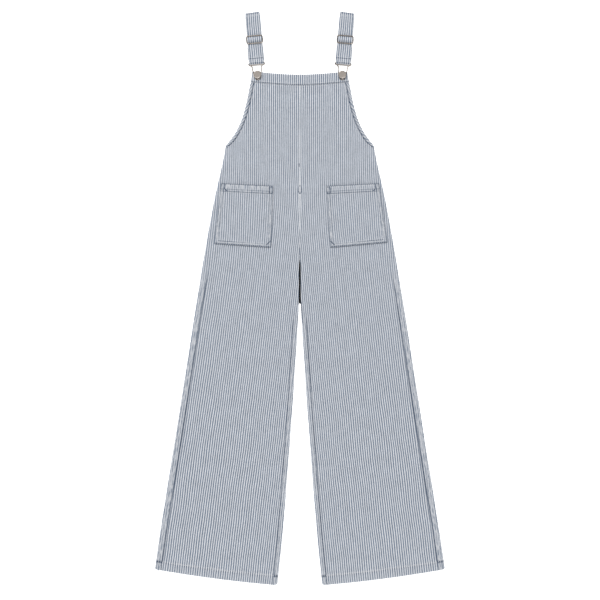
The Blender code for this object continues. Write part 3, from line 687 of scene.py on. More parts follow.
class Nodes:
    """Short ways to add and join a material's nodes."""

    def __init__(self, name):
        self.material = bpy.data.materials.new(name)
        self.material.use_nodes = True
        self.tree = self.material.node_tree
        self.shader = self.tree.nodes["Principled BSDF"]

    def add(self, kind, inputs=(), **settings):
        node = self.tree.nodes.new(kind)
        for key, value in settings.items():
            setattr(node, key, value)
        for key, value in dict(inputs).items():
            self.put(value, node.inputs[key])
        return node

    def put(self, value, socket):
        if isinstance(value, bpy.types.NodeSocket):
            self.tree.links.new(value, socket)
        elif socket.type == "RGBA" and len(value) == 3:
            socket.default_value = (*value, 1.0)
        else:
            socket.default_value = value

    def maths(self, operation, first, second=0.0, third=0.0, clamp=False):
        node = self.add("ShaderNodeMath", {0: first, 1: second, 2: third}, operation=operation)
        node.use_clamp = clamp
        return node.outputs[0]

    def times(self, first, second, clamp=False):
        return self.maths("MULTIPLY", first, second, clamp=clamp)

    def fit(self, value, scale, shift):
        """A value times a scale, plus a shift."""
        return self.maths("MULTIPLY_ADD", value, scale, shift)

    def mark(self, name):
        """What the piece's mesh carries under this name, or 0."""
        return self.add("ShaderNodeAttribute", attribute_name=name).outputs["Fac"]

    def place(self):
        return self.add("ShaderNodeTexCoord").outputs["Object"]

    def cloud(self, place, scale, detail):
        return self.add("ShaderNodeTexNoise", {"Vector": place, "Scale": scale, "Detail": detail}).outputs[0]

    def surface(self, inputs):
        for key, value in inputs.items():
            self.put(value, self.shader.inputs[key])

    def bumped(self, height, strength, distance):
        bump = self.add("ShaderNodeBump", {"Strength": strength, "Distance": distance, "Height": height})
        self.surface({"Normal": bump.outputs[0]})

    def ramp(self, value, low, high, to_low=0.0, to_high=1.0):
        node = self.add(
            "ShaderNodeMapRange",
            {"Value": value, "From Min": low, "From Max": high, "To Min": to_low, "To Max": to_high},
            interpolation_type="SMOOTHSTEP",
        )
        return node.outputs["Result"]

    def noise(self, across, along, scale_across, scale_along, detail=2.0, offset=0.0):
        """Unevenness from 0 to 1 whose grains are so many millimetres across and along."""
        place = self.add("ShaderNodeCombineXYZ", {
            0: self.fit(across, 1 / scale_across, offset),
            1: self.times(along, 1 / scale_along),
        })
        node = self.add(
            "ShaderNodeTexNoise", {"Vector": place.outputs[0], "Scale": 1.0, "Detail": detail},
            noise_dimensions="2D",
        )
        return node.outputs[0]

    def mix(self, factor, first, second):
        node = self.add("ShaderNodeMix", data_type="RGBA")
        self.put(factor, node.inputs[0])
        self.put(first, node.inputs[6])
        self.put(second, node.inputs[7])
        return node.outputs[2]

    def scaled(self, colour, factor):
        node = self.add("ShaderNodeVectorMath", operation="SCALE")
        self.put(colour, node.inputs[0])
        self.put(factor, node.inputs["Scale"])
        return node.outputs[0]


def denim(name, contrast=1.0, bib=None, shades=()):
    """Washed hickory stripe denim that follows the piece's grain, with the wear of its seams and the shade
    painted beside its seams, folds and edges.

    contrast is that of the stripes, bib is what it falls to up the bib, and shades lists lines of
    shade beside other pieces: their ends out and up in millimetres, how far and how dark.
    """
    look = bpy.context.scene.dungaree_denim
    made = Nodes(name)
    grain = made.add("ShaderNodeUVMap", uv_map="grain")
    parts = made.add("ShaderNodeSeparateXYZ", {0: grain.outputs[0]})
    across = made.times(parts.outputs[0], 1000.0)
    along = made.times(parts.outputs[1], 1000.0)
    period = look.stripe / MM

    # Stripes that wander a little with the cloth and have slightly uneven edges
    drift = made.noise(across, along, 48.0, 110.0, 1.0, 2.2)
    wander = made.noise(across, along, 9.0, 22.0, 2.0, 6.1)
    edge = made.noise(across, along, 1.1, 4.5, 2.0, 3.7)
    place = made.maths("SUBTRACT", across, 0.5 * (1.2 * look.drift / MM + 0.8))
    place = made.fit(drift, look.drift / MM, place)
    place = made.fit(wander, 0.2 * look.drift / MM, place)
    place = made.fit(edge, 0.8, place)
    wave = made.maths("SINE", made.times(place, 2 * math.pi / period))
    stripe = made.ramp(wave, -0.62, 0.62)
    if bib is not None:
        contrast = made.ramp(along, 260.0, -420.0, bib, contrast)
        contrast = made.maths("ADD", contrast, made.ramp(along, 400.0, 500.0, 0.0, 0.22))
    stripe = made.fit(made.maths("SUBTRACT", stripe, 0.5), contrast, 0.5)

    # Yarns: blue warp over pale weft in a fine twill, and thicker and thinner yarns
    yarn = made.maths("SINE", made.times(across, 2 * math.pi / 0.48))
    slope = made.fit(along, 0.8, across)
    twill = made.maths("SINE", made.times(slope, 2 * math.pi / 0.95))
    fleck = made.times(made.ramp(twill, 0.2, 1.0), made.ramp(yarn, -1.0, 0.6))
    slub = made.noise(across, along, 0.42, 17.0, 2.0, 11.0)
    cloud = made.noise(across, along, 15.0, 30.0, 3.0, 5.0)
    speck = made.noise(across, along, 2.3, 5.5, 2.0, 1.3)

    blue = made.mix(made.times(fleck, 0.30), look.blue, look.pale)
    colour = made.mix(stripe, blue, look.pale)
    tone = made.fit(slub, 0.26, 0.87)
    tone = made.times(tone, made.fit(cloud, 0.22, 0.89))
    tone = made.times(tone, made.fit(speck, 0.30, 0.85))
    colour = made.scaled(colour, tone)

    # Wear: pale patches on folds and seams, with darker ones between them
    rubbed = made.mark("rubbed")
    patch = made.ramp(made.noise(across, along, 2.7, 17.0, 2.0, 21.0), 0.40, 0.62)
    pale_patch = made.times(rubbed, made.fit(patch, 0.56, 0.26), clamp=True)
    dark_patch = made.times(rubbed, made.fit(patch, -0.30, 0.30), clamp=True)
    colour = made.mix(pale_patch, colour, look.worn)
    colour = made.mix(dark_patch, colour, look.blue)

    # Grooves beside the stitching, edges and folds: dark on the blue stripes, bright on the pale ones; the dark
    # is partly unfaded cloth and partly painted shade
    from_line = made.mark("from_line")
    groove = made.ramp(from_line, 0.4, 2.1, 1.0, 0.0)
    broken = made.ramp(made.noise(across, along, 3.4, 4.2, 2.0, 8.0), 0.30, 0.60, 0.45, 1.0)
    groove = made.times(groove, broken)
    halo = made.times(made.ramp(from_line, 1.8, 2.6), made.ramp(from_line, 3.0, 4.8, 1.0, 0.0))
    bright = made.fit(patch, 0.5, 0.1)
    colour = made.mix(made.times(halo, bright), colour, look.worn)
    dark = made.times(groove, made.fit(stripe, -0.55, 0.95))
    colour = made.mix(dark, colour, look.deep)

    # Seam lines: a pale one, dark ones that are partly painted shade along the steps of turned edges, and rows of
    # stitches that sink into the blue stripes
    pale_line = made.mark("pale_line")
    colour = made.mix(made.times(pale_line, 0.8), colour, tuple(1.12 * value for value in look.worn))
    seam_line = made.mark("seam_line")
    dark = made.times(seam_line, made.fit(stripe, -0.2, 0.95))
    colour = made.mix(dark, colour, look.deep)
    sewn = made.mark("sewn")
    dark = made.times(sewn, made.ramp(wave, 0.2, -0.5, 0.0, 1.0))
    colour = made.mix(dark, colour, look.deep)
    light = made.times(sewn, made.ramp(wave, 0.1, 0.7, 0.0, 1.0))
    colour = made.mix(light, colour, tuple(1.2 * value for value in look.pale))

    # Shade beside the pieces that lie on this one
    spot = made.add("ShaderNodeSeparateXYZ", {0: made.place()})
    spot = [made.times(spot.outputs[n], 1000.0) for n in (0, 1)]
    for start, end, reach, depth in shades:
        length = math.dist(start, end)
        ahead = ((end[0] - start[0]) / length, (end[1] - start[1]) / length)
        off = made.fit(spot[0], -ahead[1], ahead[1] * start[0] - ahead[0] * start[1])
        off = made.maths("ABSOLUTE", made.fit(spot[1], ahead[0], off))
        run = made.fit(spot[0], ahead[0], -ahead[0] * start[0] - ahead[1] * start[1])
        run = made.fit(spot[1], ahead[1], run)
        ends = made.times(made.ramp(run, -2.0, 1.0), made.ramp(run, length - 1.0, length + 2.0, 1.0, 0.0))
        shade = made.times(made.ramp(off, 0.15 * reach, reach, 1.0, 0.0), ends)
        shade = made.times(shade, made.fit(stripe, -0.5 * depth, depth))
        shade = made.times(shade, broken)
        colour = made.mix(shade, colour, look.deep)

    # The inside mark mixes in the near-black painted shade of the crotch slit
    made.surface({
        "Base Color": made.mix(made.mark("inside"), colour, look.inner),
        "Roughness": made.fit(slub, -0.08, 0.96), "Specular IOR Level": 0.22,
        "Sheen Weight": 0.12, "Sheen Roughness": 0.45,
    })

    relief = made.fit(twill, 0.22, made.times(slub, 0.9))
    relief = made.fit(speck, 0.8, relief)
    relief = made.fit(patch, made.times(rubbed, 1.2), relief)
    relief = made.fit(groove, -1.6, relief)
    made.bumped(relief, 0.6, 0.3 * MM)
    return made.material


def thread(name, colour):
    """Cotton sewing thread with its twist."""
    made = Nodes(name)
    place = made.place()
    tone = made.fit(made.cloud(place, 420.0, 2.0), 0.5, 0.75)
    made.surface({"Base Color": made.scaled(tuple(colour), tone), "Roughness": 0.8, "Sheen Weight": 0.1})
    twist = made.add("ShaderNodeTexWave", {"Vector": place, "Scale": 900.0, "Distortion": 1.5})
    made.bumped(twist.outputs["Fac"], 0.4, 0.05 * MM)
    return made.material


def nickel(name):
    """Brushed antique nickel: painted highlights and the buttons' paler faces in its bright colour, brown in its
    low places.
    """
    look = bpy.context.scene.dungaree_hardware
    made = Nodes(name)
    place = made.place()
    cloud, fine = made.cloud(place, 230.0, 3.0), made.cloud(place, 2600.0, 2.0)
    colour = made.mix(made.ramp(cloud, 0.52, 0.74, 0.0, 0.45), look.nickel, look.tarnish)
    colour = made.mix(made.mark("highlight_and_pale_face"), colour, look.highlight_and_face_colour)
    made.surface({"Base Color": colour, "Metallic": 1.0, "Roughness": made.fit(fine, 0.16, 0.24)})
    made.bumped(made.fit(cloud, 0.6, fine), 0.25, 0.04 * MM)
    return made.material


def shared(name, make, *values):
    """A material made once and used again."""
    return bpy.data.materials.get(name) or make(name, *values)


def blue_thread():
    return shared("blue_thread", thread, bpy.context.scene.dungaree_stitch.blue_thread)


# ---------------------------------------------------------------- the cloth pieces


def back_surface(side, step):
    _, inner = armhole_stations()
    corner = inner[-1][1]
    top = np.linspace(BACK_TOP_HEIGHT, corner, int((BACK_TOP_HEIGHT - corner) / step) + 1, endpoint=False)
    part = (BACK_TOP_HEIGHT - top) / (BACK_TOP_HEIGHT - corner)
    inset = BACK_INSET_TOP + (BACK_INSET_CORNER - BACK_INSET_TOP) * part
    edge = smooth(ARMHOLE, np.maximum(top, ARMHOLE[-1][0] * MM)) - inset
    blank = np.zeros_like(top)
    bib = np.stack([top, top, blank + BACK_SEAM, edge, blank, blank], -1)
    seat = np.linspace(corner, BACK_CROTCH_HEIGHT, int((corner - BACK_CROTCH_HEIGHT) / step) + 1)
    ends, _, out, dip = leg_ends(seat)
    inset = BACK_INSET + (BACK_INSET_CORNER - BACK_INSET) * (1 - ease(corner - seat, 0, 40 * MM))
    seat = np.stack([seat, ends, 0 * seat + BACK_SEAM, out - inset, 0 * seat, dip], -1)
    lowest = -TOTAL_LENGTH / 2
    notch = BACK_CROTCH_HEIGHT - BACK_CROTCH_NOTCH
    close = np.array([29, 26, 24.5, 23, 21, 14, 6, 2, 0]) * MM
    heights = np.concatenate([
        np.linspace(notch, lowest + 33 * MM, int(660 * MM / step)), lowest + close,
    ])
    ends, inside, out, dip = leg_ends(heights)
    leg = np.stack([heights, ends, inside + BACK_INSET, out - BACK_INSET, 0 * heights, dip], -1)
    rows = np.concatenate([bib, seat, leg])
    width = (rows[:, 3] - rows[:, 2])[:, None]
    parts = np.linspace(0, 1, int(300 * MM / step))[None, :] * np.ones_like(width)
    out, height = row_points(rows, parts)
    above = np.broadcast_to(rows[:, 0, None] + TOTAL_LENGTH / 2, out.shape)
    fold = 1 - ease(above, HEM_DEPTH, HEM_DEPTH + 1.5 * MM)
    wall = CLOTH + (DOUBLED - CLOTH) * fold
    from_in, from_out = parts * width, (1 - parts) * width
    # Painted shade: near-black on the back where it shows through the crotch slit
    slit = fading(out, 9 * MM) * ease(height, -25 * MM, -8 * MM)
    slit = slit * (1 - ease(height, CROTCH_HEIGHT, CROTCH_HEIGHT + 15 * MM))
    marks = {
        "from_line": np.minimum(np.minimum(np.abs(above - HEM_DEPTH), from_in), from_out) / MM,
        "rubbed": np.clip(np.exp(-above / (2.5 * MM)), 0, 1),
        "inside": np.clip(1.6 * slit, 0, 1),
    }
    grain = np.stack([stripe_place(side, out, height, False), height], -1)
    return Surface(np.stack([SIDES[side] * out, height, wall], -1), wall, grain, marks)


def band_surface():
    cloth = bpy.context.scene.dungaree_cloth
    fall = np.array([0, 0.35, 1.0, 2, 4, 6.5, 9, 11.5, 14, 16.5, 19, 21.5, 23.5, 25, 26]) * MM
    heights = BAND_TOP - fall[:, None]
    part = np.linspace(-1, 1, 141)[None, :]
    half = smooth(ARMHOLE, heights)
    out = part * half
    height = heights - BAND_SAG * dipping(part) + 0 * out
    left = underside("left", np.abs(out), height)
    top = np.where(part < 0, left, underside("right", np.abs(out), height)) + DOUBLED
    drift = uneven(out / (15 * MM), height / (40 * MM), 7)
    ripple = rippling(out, 6.4 * MM, 2.5 * drift)
    upper = np.exp(-((fall[:, None] - 3 * MM) / (4 * MM)) ** 2)
    lower = np.exp(-((fall[:, None] - 24 * MM) / (3.5 * MM)) ** 2)
    top = top + cloth.pucker * ripple * (0.8 * upper + 0.5 * lower)
    height = height + 0.25 * MM * ripple * np.exp(-fall[:, None] / (1.5 * MM))
    from_edge = fall[:, None] + 0 * out
    near_low = BAND_DEPTH - from_edge
    # from_edge and sewn darken the band's folded top edge on the blue stripes, a painted shade, and lighten it on
    # the pale ones
    marks = {
        "from_line": np.minimum.reduce([
            np.abs(near_low - 0.5 * MM) - 0.3 * MM, half - np.abs(out) + 0.5 * MM, from_edge + 0.9 * MM,
        ]) / MM,
        "sewn": 0.8 * fading(from_edge, 2.6 * MM),
        "rubbed": np.clip((0.55 + 0.55 * ripple) * np.exp(-from_edge / (2.6 * MM)), 0, 1),
    }
    spacing = bpy.context.scene.dungaree_denim.stripe
    grain = np.stack([(out + 1.9 * MM) * spacing / (5.25 * MM), height], -1)
    wall = np.full_like(out, DOUBLED)
    return Surface(np.stack([out, height, top], -1), wall, grain, marks)


def binding_surface(side):
    cloth = bpy.context.scene.dungaree_cloth
    outer, inner = armhole_edges(136)
    run = run_along(outer)[:, None]
    part = np.array([0, 0.02, 0.06, 0.13, 0.22, 0.34, 0.46, 0.58, 0.70, 0.80, 0.88, 0.94, 0.98, 1.0])[None, :]
    place = outer[:, None, :] + (inner - outer)[:, None, :] * part[..., None]
    out, height = place[..., 0], place[..., 1]
    level = underside(side, out, height)
    roll = (1 - ease(height, *BINDING_ROLL)) * (1 - rolled(part * BINDING_WIDTH, 4.2 * MM))
    drift = uneven(run / (13 * MM), part * 0.8, 21 + SIDES[side])
    rope = rippling(run + STRAND * part, TWIST, 2.4 * drift)
    crown = 0.30 * MM * np.sin(np.pi * np.clip(part * 1.02, 0, 1)) ** 0.7 - 0.12 * MM
    top = level + BINDING_WALL + crown + 0.5 * cloth.pucker * rope * np.sin(np.pi * part) ** 0.5
    top = EDGE_LEVEL + (top - EDGE_LEVEL) * (1 - roll)
    inset = (1 - part) * BINDING_WIDTH
    ridge = 0.5 + 0.5 * rope
    # seam_line darkens the binding's inner edge, and as painted shade the troughs between its twisted ridges at
    # the armhole edge
    marks = {
        "from_line": np.minimum(inset + 0.6 * MM, part * BINDING_WIDTH + 0.6 * MM) / MM + 0 * out,
        "seam_line": fading(inset, 2.3 * MM, 3) * (0.75 + 0.25 * ridge)
        + 0.6 * (1 - ridge) * fading(part * BINDING_WIDTH, 1.7 * MM),
        "rubbed": np.clip(0.1 + 0.7 * ridge * fading(part - 0.42, 0.28), 0, 1),
    }
    spacing = bpy.context.scene.dungaree_denim.stripe
    slanted = run + STRAND * part + 2.4 * drift * TWIST / (2 * math.pi)
    grain = np.stack([slanted * spacing / TWIST, part * BINDING_WIDTH + 0 * out], -1)
    points = np.stack([SIDES[side] * out, height, top], -1)
    return Surface(points, np.full_like(out, BINDING_WALL * 0.9), grain, marks)


def pocket_place(side, fall, part):
    """Distance out and height of a point of a pocket, by its share of the way down and outwards."""
    corners = POCKETS[side]
    top = np.array(corners.top_inner) + (np.array(corners.top_outer) - corners.top_inner) * part[..., None]
    low = np.array(corners.low_inner) + (np.array(corners.low_outer) - corners.low_inner) * part[..., None]
    place = (top + (low - top) * fall[..., None]) * MM
    return place[..., 0], place[..., 1]


def pocket_sizes(side, fall):
    """Width at a share of the way down, and depth, of a pocket."""
    corners = POCKETS[side]
    top = np.linalg.norm(np.subtract(corners.top_outer, corners.top_inner))
    low = np.linalg.norm(np.subtract(corners.low_outer, corners.low_inner))
    depth = np.linalg.norm(np.subtract(corners.top_inner, corners.low_inner))
    return (top + (low - top) * fall) * MM, depth * MM


def pocket_level(side, fall, part):
    """Height of a pocket's upper face and its wall there."""
    cloth = bpy.context.scene.dungaree_cloth
    width, depth = pocket_sizes(side, fall)
    out, height = pocket_place(side, fall, part)
    down = fall * depth
    hem = 1 - ease(down, POCKET_HEM, POCKET_HEM + STEP_WIDTH)
    side_in = np.minimum(part, 1 - part) * width
    bottom_in = (1 - fall) * depth
    turned = np.minimum(side_in, bottom_in)
    fold = np.maximum(hem, 0.7 * (1 - ease(turned, 8.5 * MM, 10.5 * MM)))
    wall = CLOTH + (DOUBLED - CLOTH) * fold
    belly = POCKET_BELLY * np.sin(np.pi * part) * np.cos(np.pi * fall / 2)
    seed = 80 + SIDES[side]
    drift = uneven(out / (14 * MM), height / (14 * MM), seed)
    along = np.where(bottom_in < side_in, out, height)
    ripple = rippling(along, 7.4 * MM, 2.4 * drift)
    between = np.exp(-((turned - 4.7 * MM) / (2.6 * MM)) ** 2) * ease(down, 12 * MM, 26 * MM)
    rise = cloth.pucker * 1.1 * ripple * between
    rope = rippling(out + 0.5 * down, 8.4 * MM, 2.2 * drift)
    rise = rise + cloth.pucker * 0.55 * rope * hem * np.sin(np.pi * np.clip(down / POCKET_HEM, 0, 1))
    sunk = -0.16 * MM * np.exp(-((turned - 1.7 * MM) / (0.7 * MM)) ** 2)
    sunk = sunk - 0.16 * MM * np.exp(-((turned - 8.0 * MM) / (0.8 * MM)) ** 2)
    top = front_top(side, out, height) + 0.15 * MM + belly + wall + rise + sunk
    return out, height, top, wall, turned, down


def pocket_surface(side):
    width, depth = pocket_sizes(side, 0.5)
    ends = np.array([0, 0.35, 0.9, 1.7, 2.6, 3.8, 5, 6.2, 7.2, 8.0, 9, 10.5, 12.5])
    span = depth / MM
    middle = np.linspace(24, span - 14.5, 50)
    hem = [0, 0.35, 0.9, 1.8, 3, 4.5, 6.3, 9, 11.5, 14, 16.5, 18, 19, 20, 21.5]
    falls = np.concatenate([hem, middle, span - ends[::-1]])
    across = width / MM
    parts = np.concatenate([ends, np.linspace(14.5, across - 14.5, 48), across - ends[::-1]])
    fall, part = np.meshgrid(falls / span, parts / across, indexing="ij")
    out, height, top, wall, turned, down = pocket_level(side, fall, part)
    # The lower corners are a little rounded
    for corner_part, reach in ((0.0, 1.0), (1.0, -1.0)):
        near = np.hypot((part - corner_part) * width, (1 - fall) * depth)
        pull = 1.1 * MM * fading(near, 3.2 * MM)
        out = out + reach * pull
        height = height + pull
    beside, bottom = np.minimum(part, 1 - part) * width, (1 - fall) * depth
    hem_line = np.minimum(*(np.abs(down - row) for row in POCKET_HEM_ROWS))
    # The inner row fades along the bottom, towards the middle of the garment
    inner_row = np.abs(turned - POCKET_INNER_ROW) + 0.15 * MM
    inner_row = inner_row + 1.4 * MM * (1 - ease(part, 0.35, 0.8)) * (bottom <= beside)
    rows = np.minimum(np.abs(turned - POCKET_OUTER_ROW), inner_row) + 0.7 * MM * (beside < bottom)
    faded = 0.85 if side == "left" else 0.3
    # edge: a dark groove along the pocket's outline, painted shade
    edge = np.minimum(np.minimum(bottom + 0.5 * MM, beside + 1.6 * MM), down + 0.1 * MM)
    box = np.maximum(np.abs(beside - 5.3 * MM) - 4.6 * MM, np.abs(down - 8 * MM) - 6.4 * MM)
    marks = {
        "from_line": np.minimum.reduce([rows, hem_line + 0.35 * MM, edge]) / MM + 3 * (box < -0.8 * MM),
        "rubbed": np.clip(
            1.25 * np.exp(-((turned - 4.6 * MM) / (2.8 * MM)) ** 2) + 0.8 * np.exp(-down / (2 * MM))
            + faded * (1 - ease(down, POCKET_HEM, POCKET_HEM + 2 * MM)) + 1.2 * (box < -0.8 * MM), 0, 1.4,
        ),
    }
    lean = math.radians(3.0 if side == "left" else 4.6)
    spacing = bpy.context.scene.dungaree_denim.stripe
    centre = 0.132 if side == "left" else 0.134
    spread = (out - centre) * math.cos(lean) + (height - 0.28) * math.sin(lean)
    grain = np.stack([
        (spread + 0.8 * MM) * spacing / ((5.45 if side == "left" else 5.3) * MM),
        height * math.cos(lean) - (out - centre) * math.sin(lean),
    ], -1)
    points = np.stack([SIDES[side] * out, height, top], -1)
    return Surface(points, wall, grain, marks)


def front_shades():
    """Lines of shade on the fronts: beside the pockets, and round the tack of the centre front."""
    shades = []
    for side, corners in POCKETS.items():
        ring = [(SIDES[side] * out, up) for out, up in corners]
        for k, (reach, depth) in enumerate(((1.9, 1.0), (1.3, 0.25), (1.9, 0.75), (1.3, 0.15))):
            shades.append((ring[k], ring[(k + 1) % 4], reach, depth))
    tack = [
        (-0.6, 281), (-2.8, 277), (-3.0, 266), (-1.4, 262), (1.8, 261.5), (3.6, 265), (3.8, 277), (2.2, 281),
    ]
    for start, end in zip(tack, tack[1:] + tack[:1]):
        shades.append((start, end, 2.0, 1.2 if start[1] < 267 or end[1] < 267 else 0.75))
    return shades + [((-1.4, 328), (-1.4, 337), 2.4, 1.1), ((3.3, -10), (5.4, -62), 3.0, 1.2)]


def pocket_tacks(side):
    """Lines of thread and shade of a pocket's tacks, in from its inner edge and down."""
    width, depth = (size / MM for size in pocket_sizes(side, 0.5))
    inner = [((9.9, 3.5), (9.9, 17)), ((9.9, 3.0), (2.0, 2.5))]
    inner += [((9.0, 17.5), (1.0, 17.5)), ((1.0, 17.0), (1.0, 3.0))]
    far = [((width - 9.9, 0.5), (width - 9.9, 13)), ((width - 9.9, 12.5), (width - 17, 17.5))]
    far += [((width - 9.5, 13.5), (width - 1.0, 13.5)), ((width - 1.0, 13), (width - 1.0, 1.5))]
    clip = [((1.5, depth - 16.5), (11.5, depth - 5.5))]
    return inner, far, clip


def pocket_marks():
    """Lines of shade on both pockets along their tacks."""
    shades = []
    for side in SIDES:
        for group, depths in zip(pocket_tacks(side), ((1.5, 0.8, 0.7, 0.8), (1.6, 1.5, 0.6, 0.9), (1.6,))):
            for (start, end), depth in zip(group, depths):
                ends = pocket_line(side, [start, end])[[0, -1], :2] / MM
                shades.append((tuple(ends[0]), tuple(ends[1]), 2.0, depth))
    return shades


def pocket_line(side, offsets):
    """A line of points on a pocket from places in millimetres: in from the inner edge, and down."""
    places = np.array(offsets, float)
    run = run_along(places)
    at = np.linspace(0, run[-1], max(int(run[-1] / 2), 2))
    places = np.stack([np.interp(at, run, places[:, n]) for n in (0, 1)], -1)
    width, depth = pocket_sizes(side, 0.5)
    fall = places[:, 1] * MM / depth
    local, _ = pocket_sizes(side, fall)
    near_in = places[:, 0] * MM < width / 2
    part = np.where(near_in, places[:, 0] * MM / local, 1 - (width - places[:, 0] * MM) / local)
    out, height, top, *_ = pocket_level(side, fall, part)
    return np.stack([SIDES[side] * out, height, top], -1)


def arc(middle, radius, start, end, steps):
    turns = np.radians(np.linspace(start, end, steps + 1))
    return [(middle[0] + radius * math.cos(t), middle[1] + radius * math.sin(t)) for t in turns]


def strap_path():
    """Distance up the strap and height of its middle layer, from its hidden layer to its sewn end."""
    half = STRAP_CLOTH / 2
    bend = STRAP_FOLD_BEND
    path = [(STRAP_TAIL, half), (STRAP_TAIL + 12 * MM, half), (SLIDER_MIDDLE, half)]
    path += [(125 * MM, half), (145 * MM, half)]
    path += arc((STRAP_FOLD - half - bend, half + bend), bend, -90, 90, 8)
    under = SLIDER_MIDDLE + SLIDER_HALF_HEIGHT
    path += [(140 * MM, 4.0 * MM), (122 * MM, 4.7 * MM), (108 * MM, RUN_LEVEL), (under, RUN_LEVEL)]
    crest = SLIDER_LEVEL + SLIDER_BAR + SEAM_GAP + half
    for k in range(1, 12):
        up = RUN_LEVEL + (crest - RUN_LEVEL) * (1 - math.cos(2 * math.pi * k / 12)) / 2
        path.append((under - 2 * SLIDER_HALF_HEIGHT * k / 12, up))
    level_end = 68 * MM
    path += [(SLIDER_MIDDLE - SLIDER_HALF_HEIGHT, RUN_LEVEL), (level_end, RUN_LEVEL)]
    wrap = BUCKLE_WIRE + SEAM_GAP + half
    over = BUCKLE_LEVEL + wrap
    rise_length = BUCKLE_BAR + 2 * MM - level_end
    for k in range(1, 5):
        rise = float(ease(k / 5, 0.0, 1.0))
        path.append((level_end + rise_length * k / 5, RUN_LEVEL + (over - RUN_LEVEL) * rise))
    path += arc((BUCKLE_BAR, BUCKLE_LEVEL), wrap, 90, 270, 10)
    path += [(38 * MM, 3.3 * MM), (50 * MM, RETURN_LEVEL), (75 * MM, RETURN_LEVEL)]
    path += [(SLIDER_MIDDLE + 8 * MM, RETURN_LEVEL)]
    return np.array(path)


def fine_path(path, step):
    """A smooth curve through a path's points, as finely as asked, with its run."""
    run = run_along(path)
    at = np.unique(np.concatenate([np.linspace(0, run[-1], int(run[-1] / step) + 1), run]))
    at = at[np.concatenate([[True], np.diff(at) > 0.3 * MM])]
    return np.stack([through(run, path[:, n], at) for n in range(path.shape[1])], -1), at


def strap_half_width(up, level):
    full = STRAP_WIDTH / 2
    full = full - 0.8 * MM * (ease(up, 98 * MM, 112 * MM) + ease(up, 140 * MM, STRAP_FOLD))
    near_bar = 1 - ease(up, BUCKLE_BAR + 1 * MM, BUCKLE_BAR + 9 * MM)
    near_slider = 1 - ease(np.abs(up - SLIDER_MIDDLE), SLIDER_HALF_HEIGHT + 2 * MM, 22 * MM)
    front = full + (18.0 * MM - full) * near_bar + (18.2 * MM - full) * near_slider
    tail = 1 - ease(up, STRAP_TAIL, STRAP_TAIL + 12 * MM)
    return np.where(level < STRAP_CLOTH, full - 0.8 * MM - 1.6 * MM * tail, front)


def to_garment(side, across_strap, up, level):
    """A strap's own place, in from its middle line and up from the button, in garment axes."""
    sign = SIDES[side]
    x = sign * (BUTTON_X - across_strap * math.cos(STRAP_LEAN) + up * math.sin(STRAP_LEAN))
    y = BUTTON_Y + across_strap * math.sin(STRAP_LEAN) + up * math.cos(STRAP_LEAN)
    return np.stack(np.broadcast_arrays(x, y, level), -1)


def strap_levels(side, crosswise):
    """The strap's middle layer as rows of points, with what is needed to place things on it."""
    path, run = fine_path(strap_path(), 2.2 * MM)
    up, level = path[:, 0, None], path[:, 1, None]
    inward = crosswise[None, :] * strap_half_width(up, level)
    slant = ease(up, 110 * MM, 150 * MM) * STRAP_TOP_SHEAR * inward
    slope = np.gradient(path, run, axis=0)
    return path, run, inward, to_garment(side, inward, up + slant, level + 0 * inward), slope


def strap_surface(side):
    cloth = bpy.context.scene.dungaree_cloth
    half = np.array([0.2, 0.4, 0.6, 0.76, 0.88, 0.95, 0.985, 1])
    crosswise = np.concatenate([-half[::-1], [0], half])
    path, run, inward, points, _ = strap_levels(side, crosswise)
    run = run[:, None]
    drift = uneven(run / (12 * MM), crosswise[None, :] * 1.5, 31 + SIDES[side])
    edge = (1 - np.abs(crosswise))[None, :] * STRAP_WIDTH / 2
    ripple = rippling(run, 7.8 * MM, 2.5 * drift + 1.5 * np.sign(crosswise)[None, :])
    visible = (path[:, 1] > 2 * STRAP_CLOTH)[:, None] * (path[:, 0] > 44 * MM)[:, None]
    visible = visible * (np.abs(path[:, 0] - SLIDER_MIDDLE) > 13 * MM)[:, None]
    points[..., 2] += 0.5 * cloth.pucker * ripple * np.exp(-((edge - 3 * MM) / (3 * MM)) ** 2) * visible
    cross = np.abs(path[:, 0] - STRAP_STITCH)[:, None] + 20 * MM * (path[:, 1] < 5 * MM)[:, None] + 0 * edge
    # fold and low paint shade over the strap's fold at its top and where it wraps round the buckle's bar
    fold = np.abs(run - run[np.argmax(path[:, 0])] - 1.5 * MM) * 0.4 + 0.35 * MM + 0 * edge
    low = np.abs(path[:, 0] - BUCKLE_BAR)[:, None] + 0 * edge
    marks = {
        "from_line": np.minimum(np.minimum(edge + 0.85 * MM, cross), np.minimum(fold, low + 0.3 * MM)) / MM,
        "rubbed": 0.25 * np.exp(-edge / (1.2 * MM)) + 0 * ripple,
    }
    spacing = bpy.context.scene.dungaree_denim.stripe
    grain = np.stack([(inward + 1.6 * MM) * spacing / (5.3 * MM), run + 0 * inward], -1)
    wall = np.full(points.shape[:2], STRAP_CLOTH)
    return Surface(points, wall, grain, marks)


# ---------------------------------------------------------------- metal


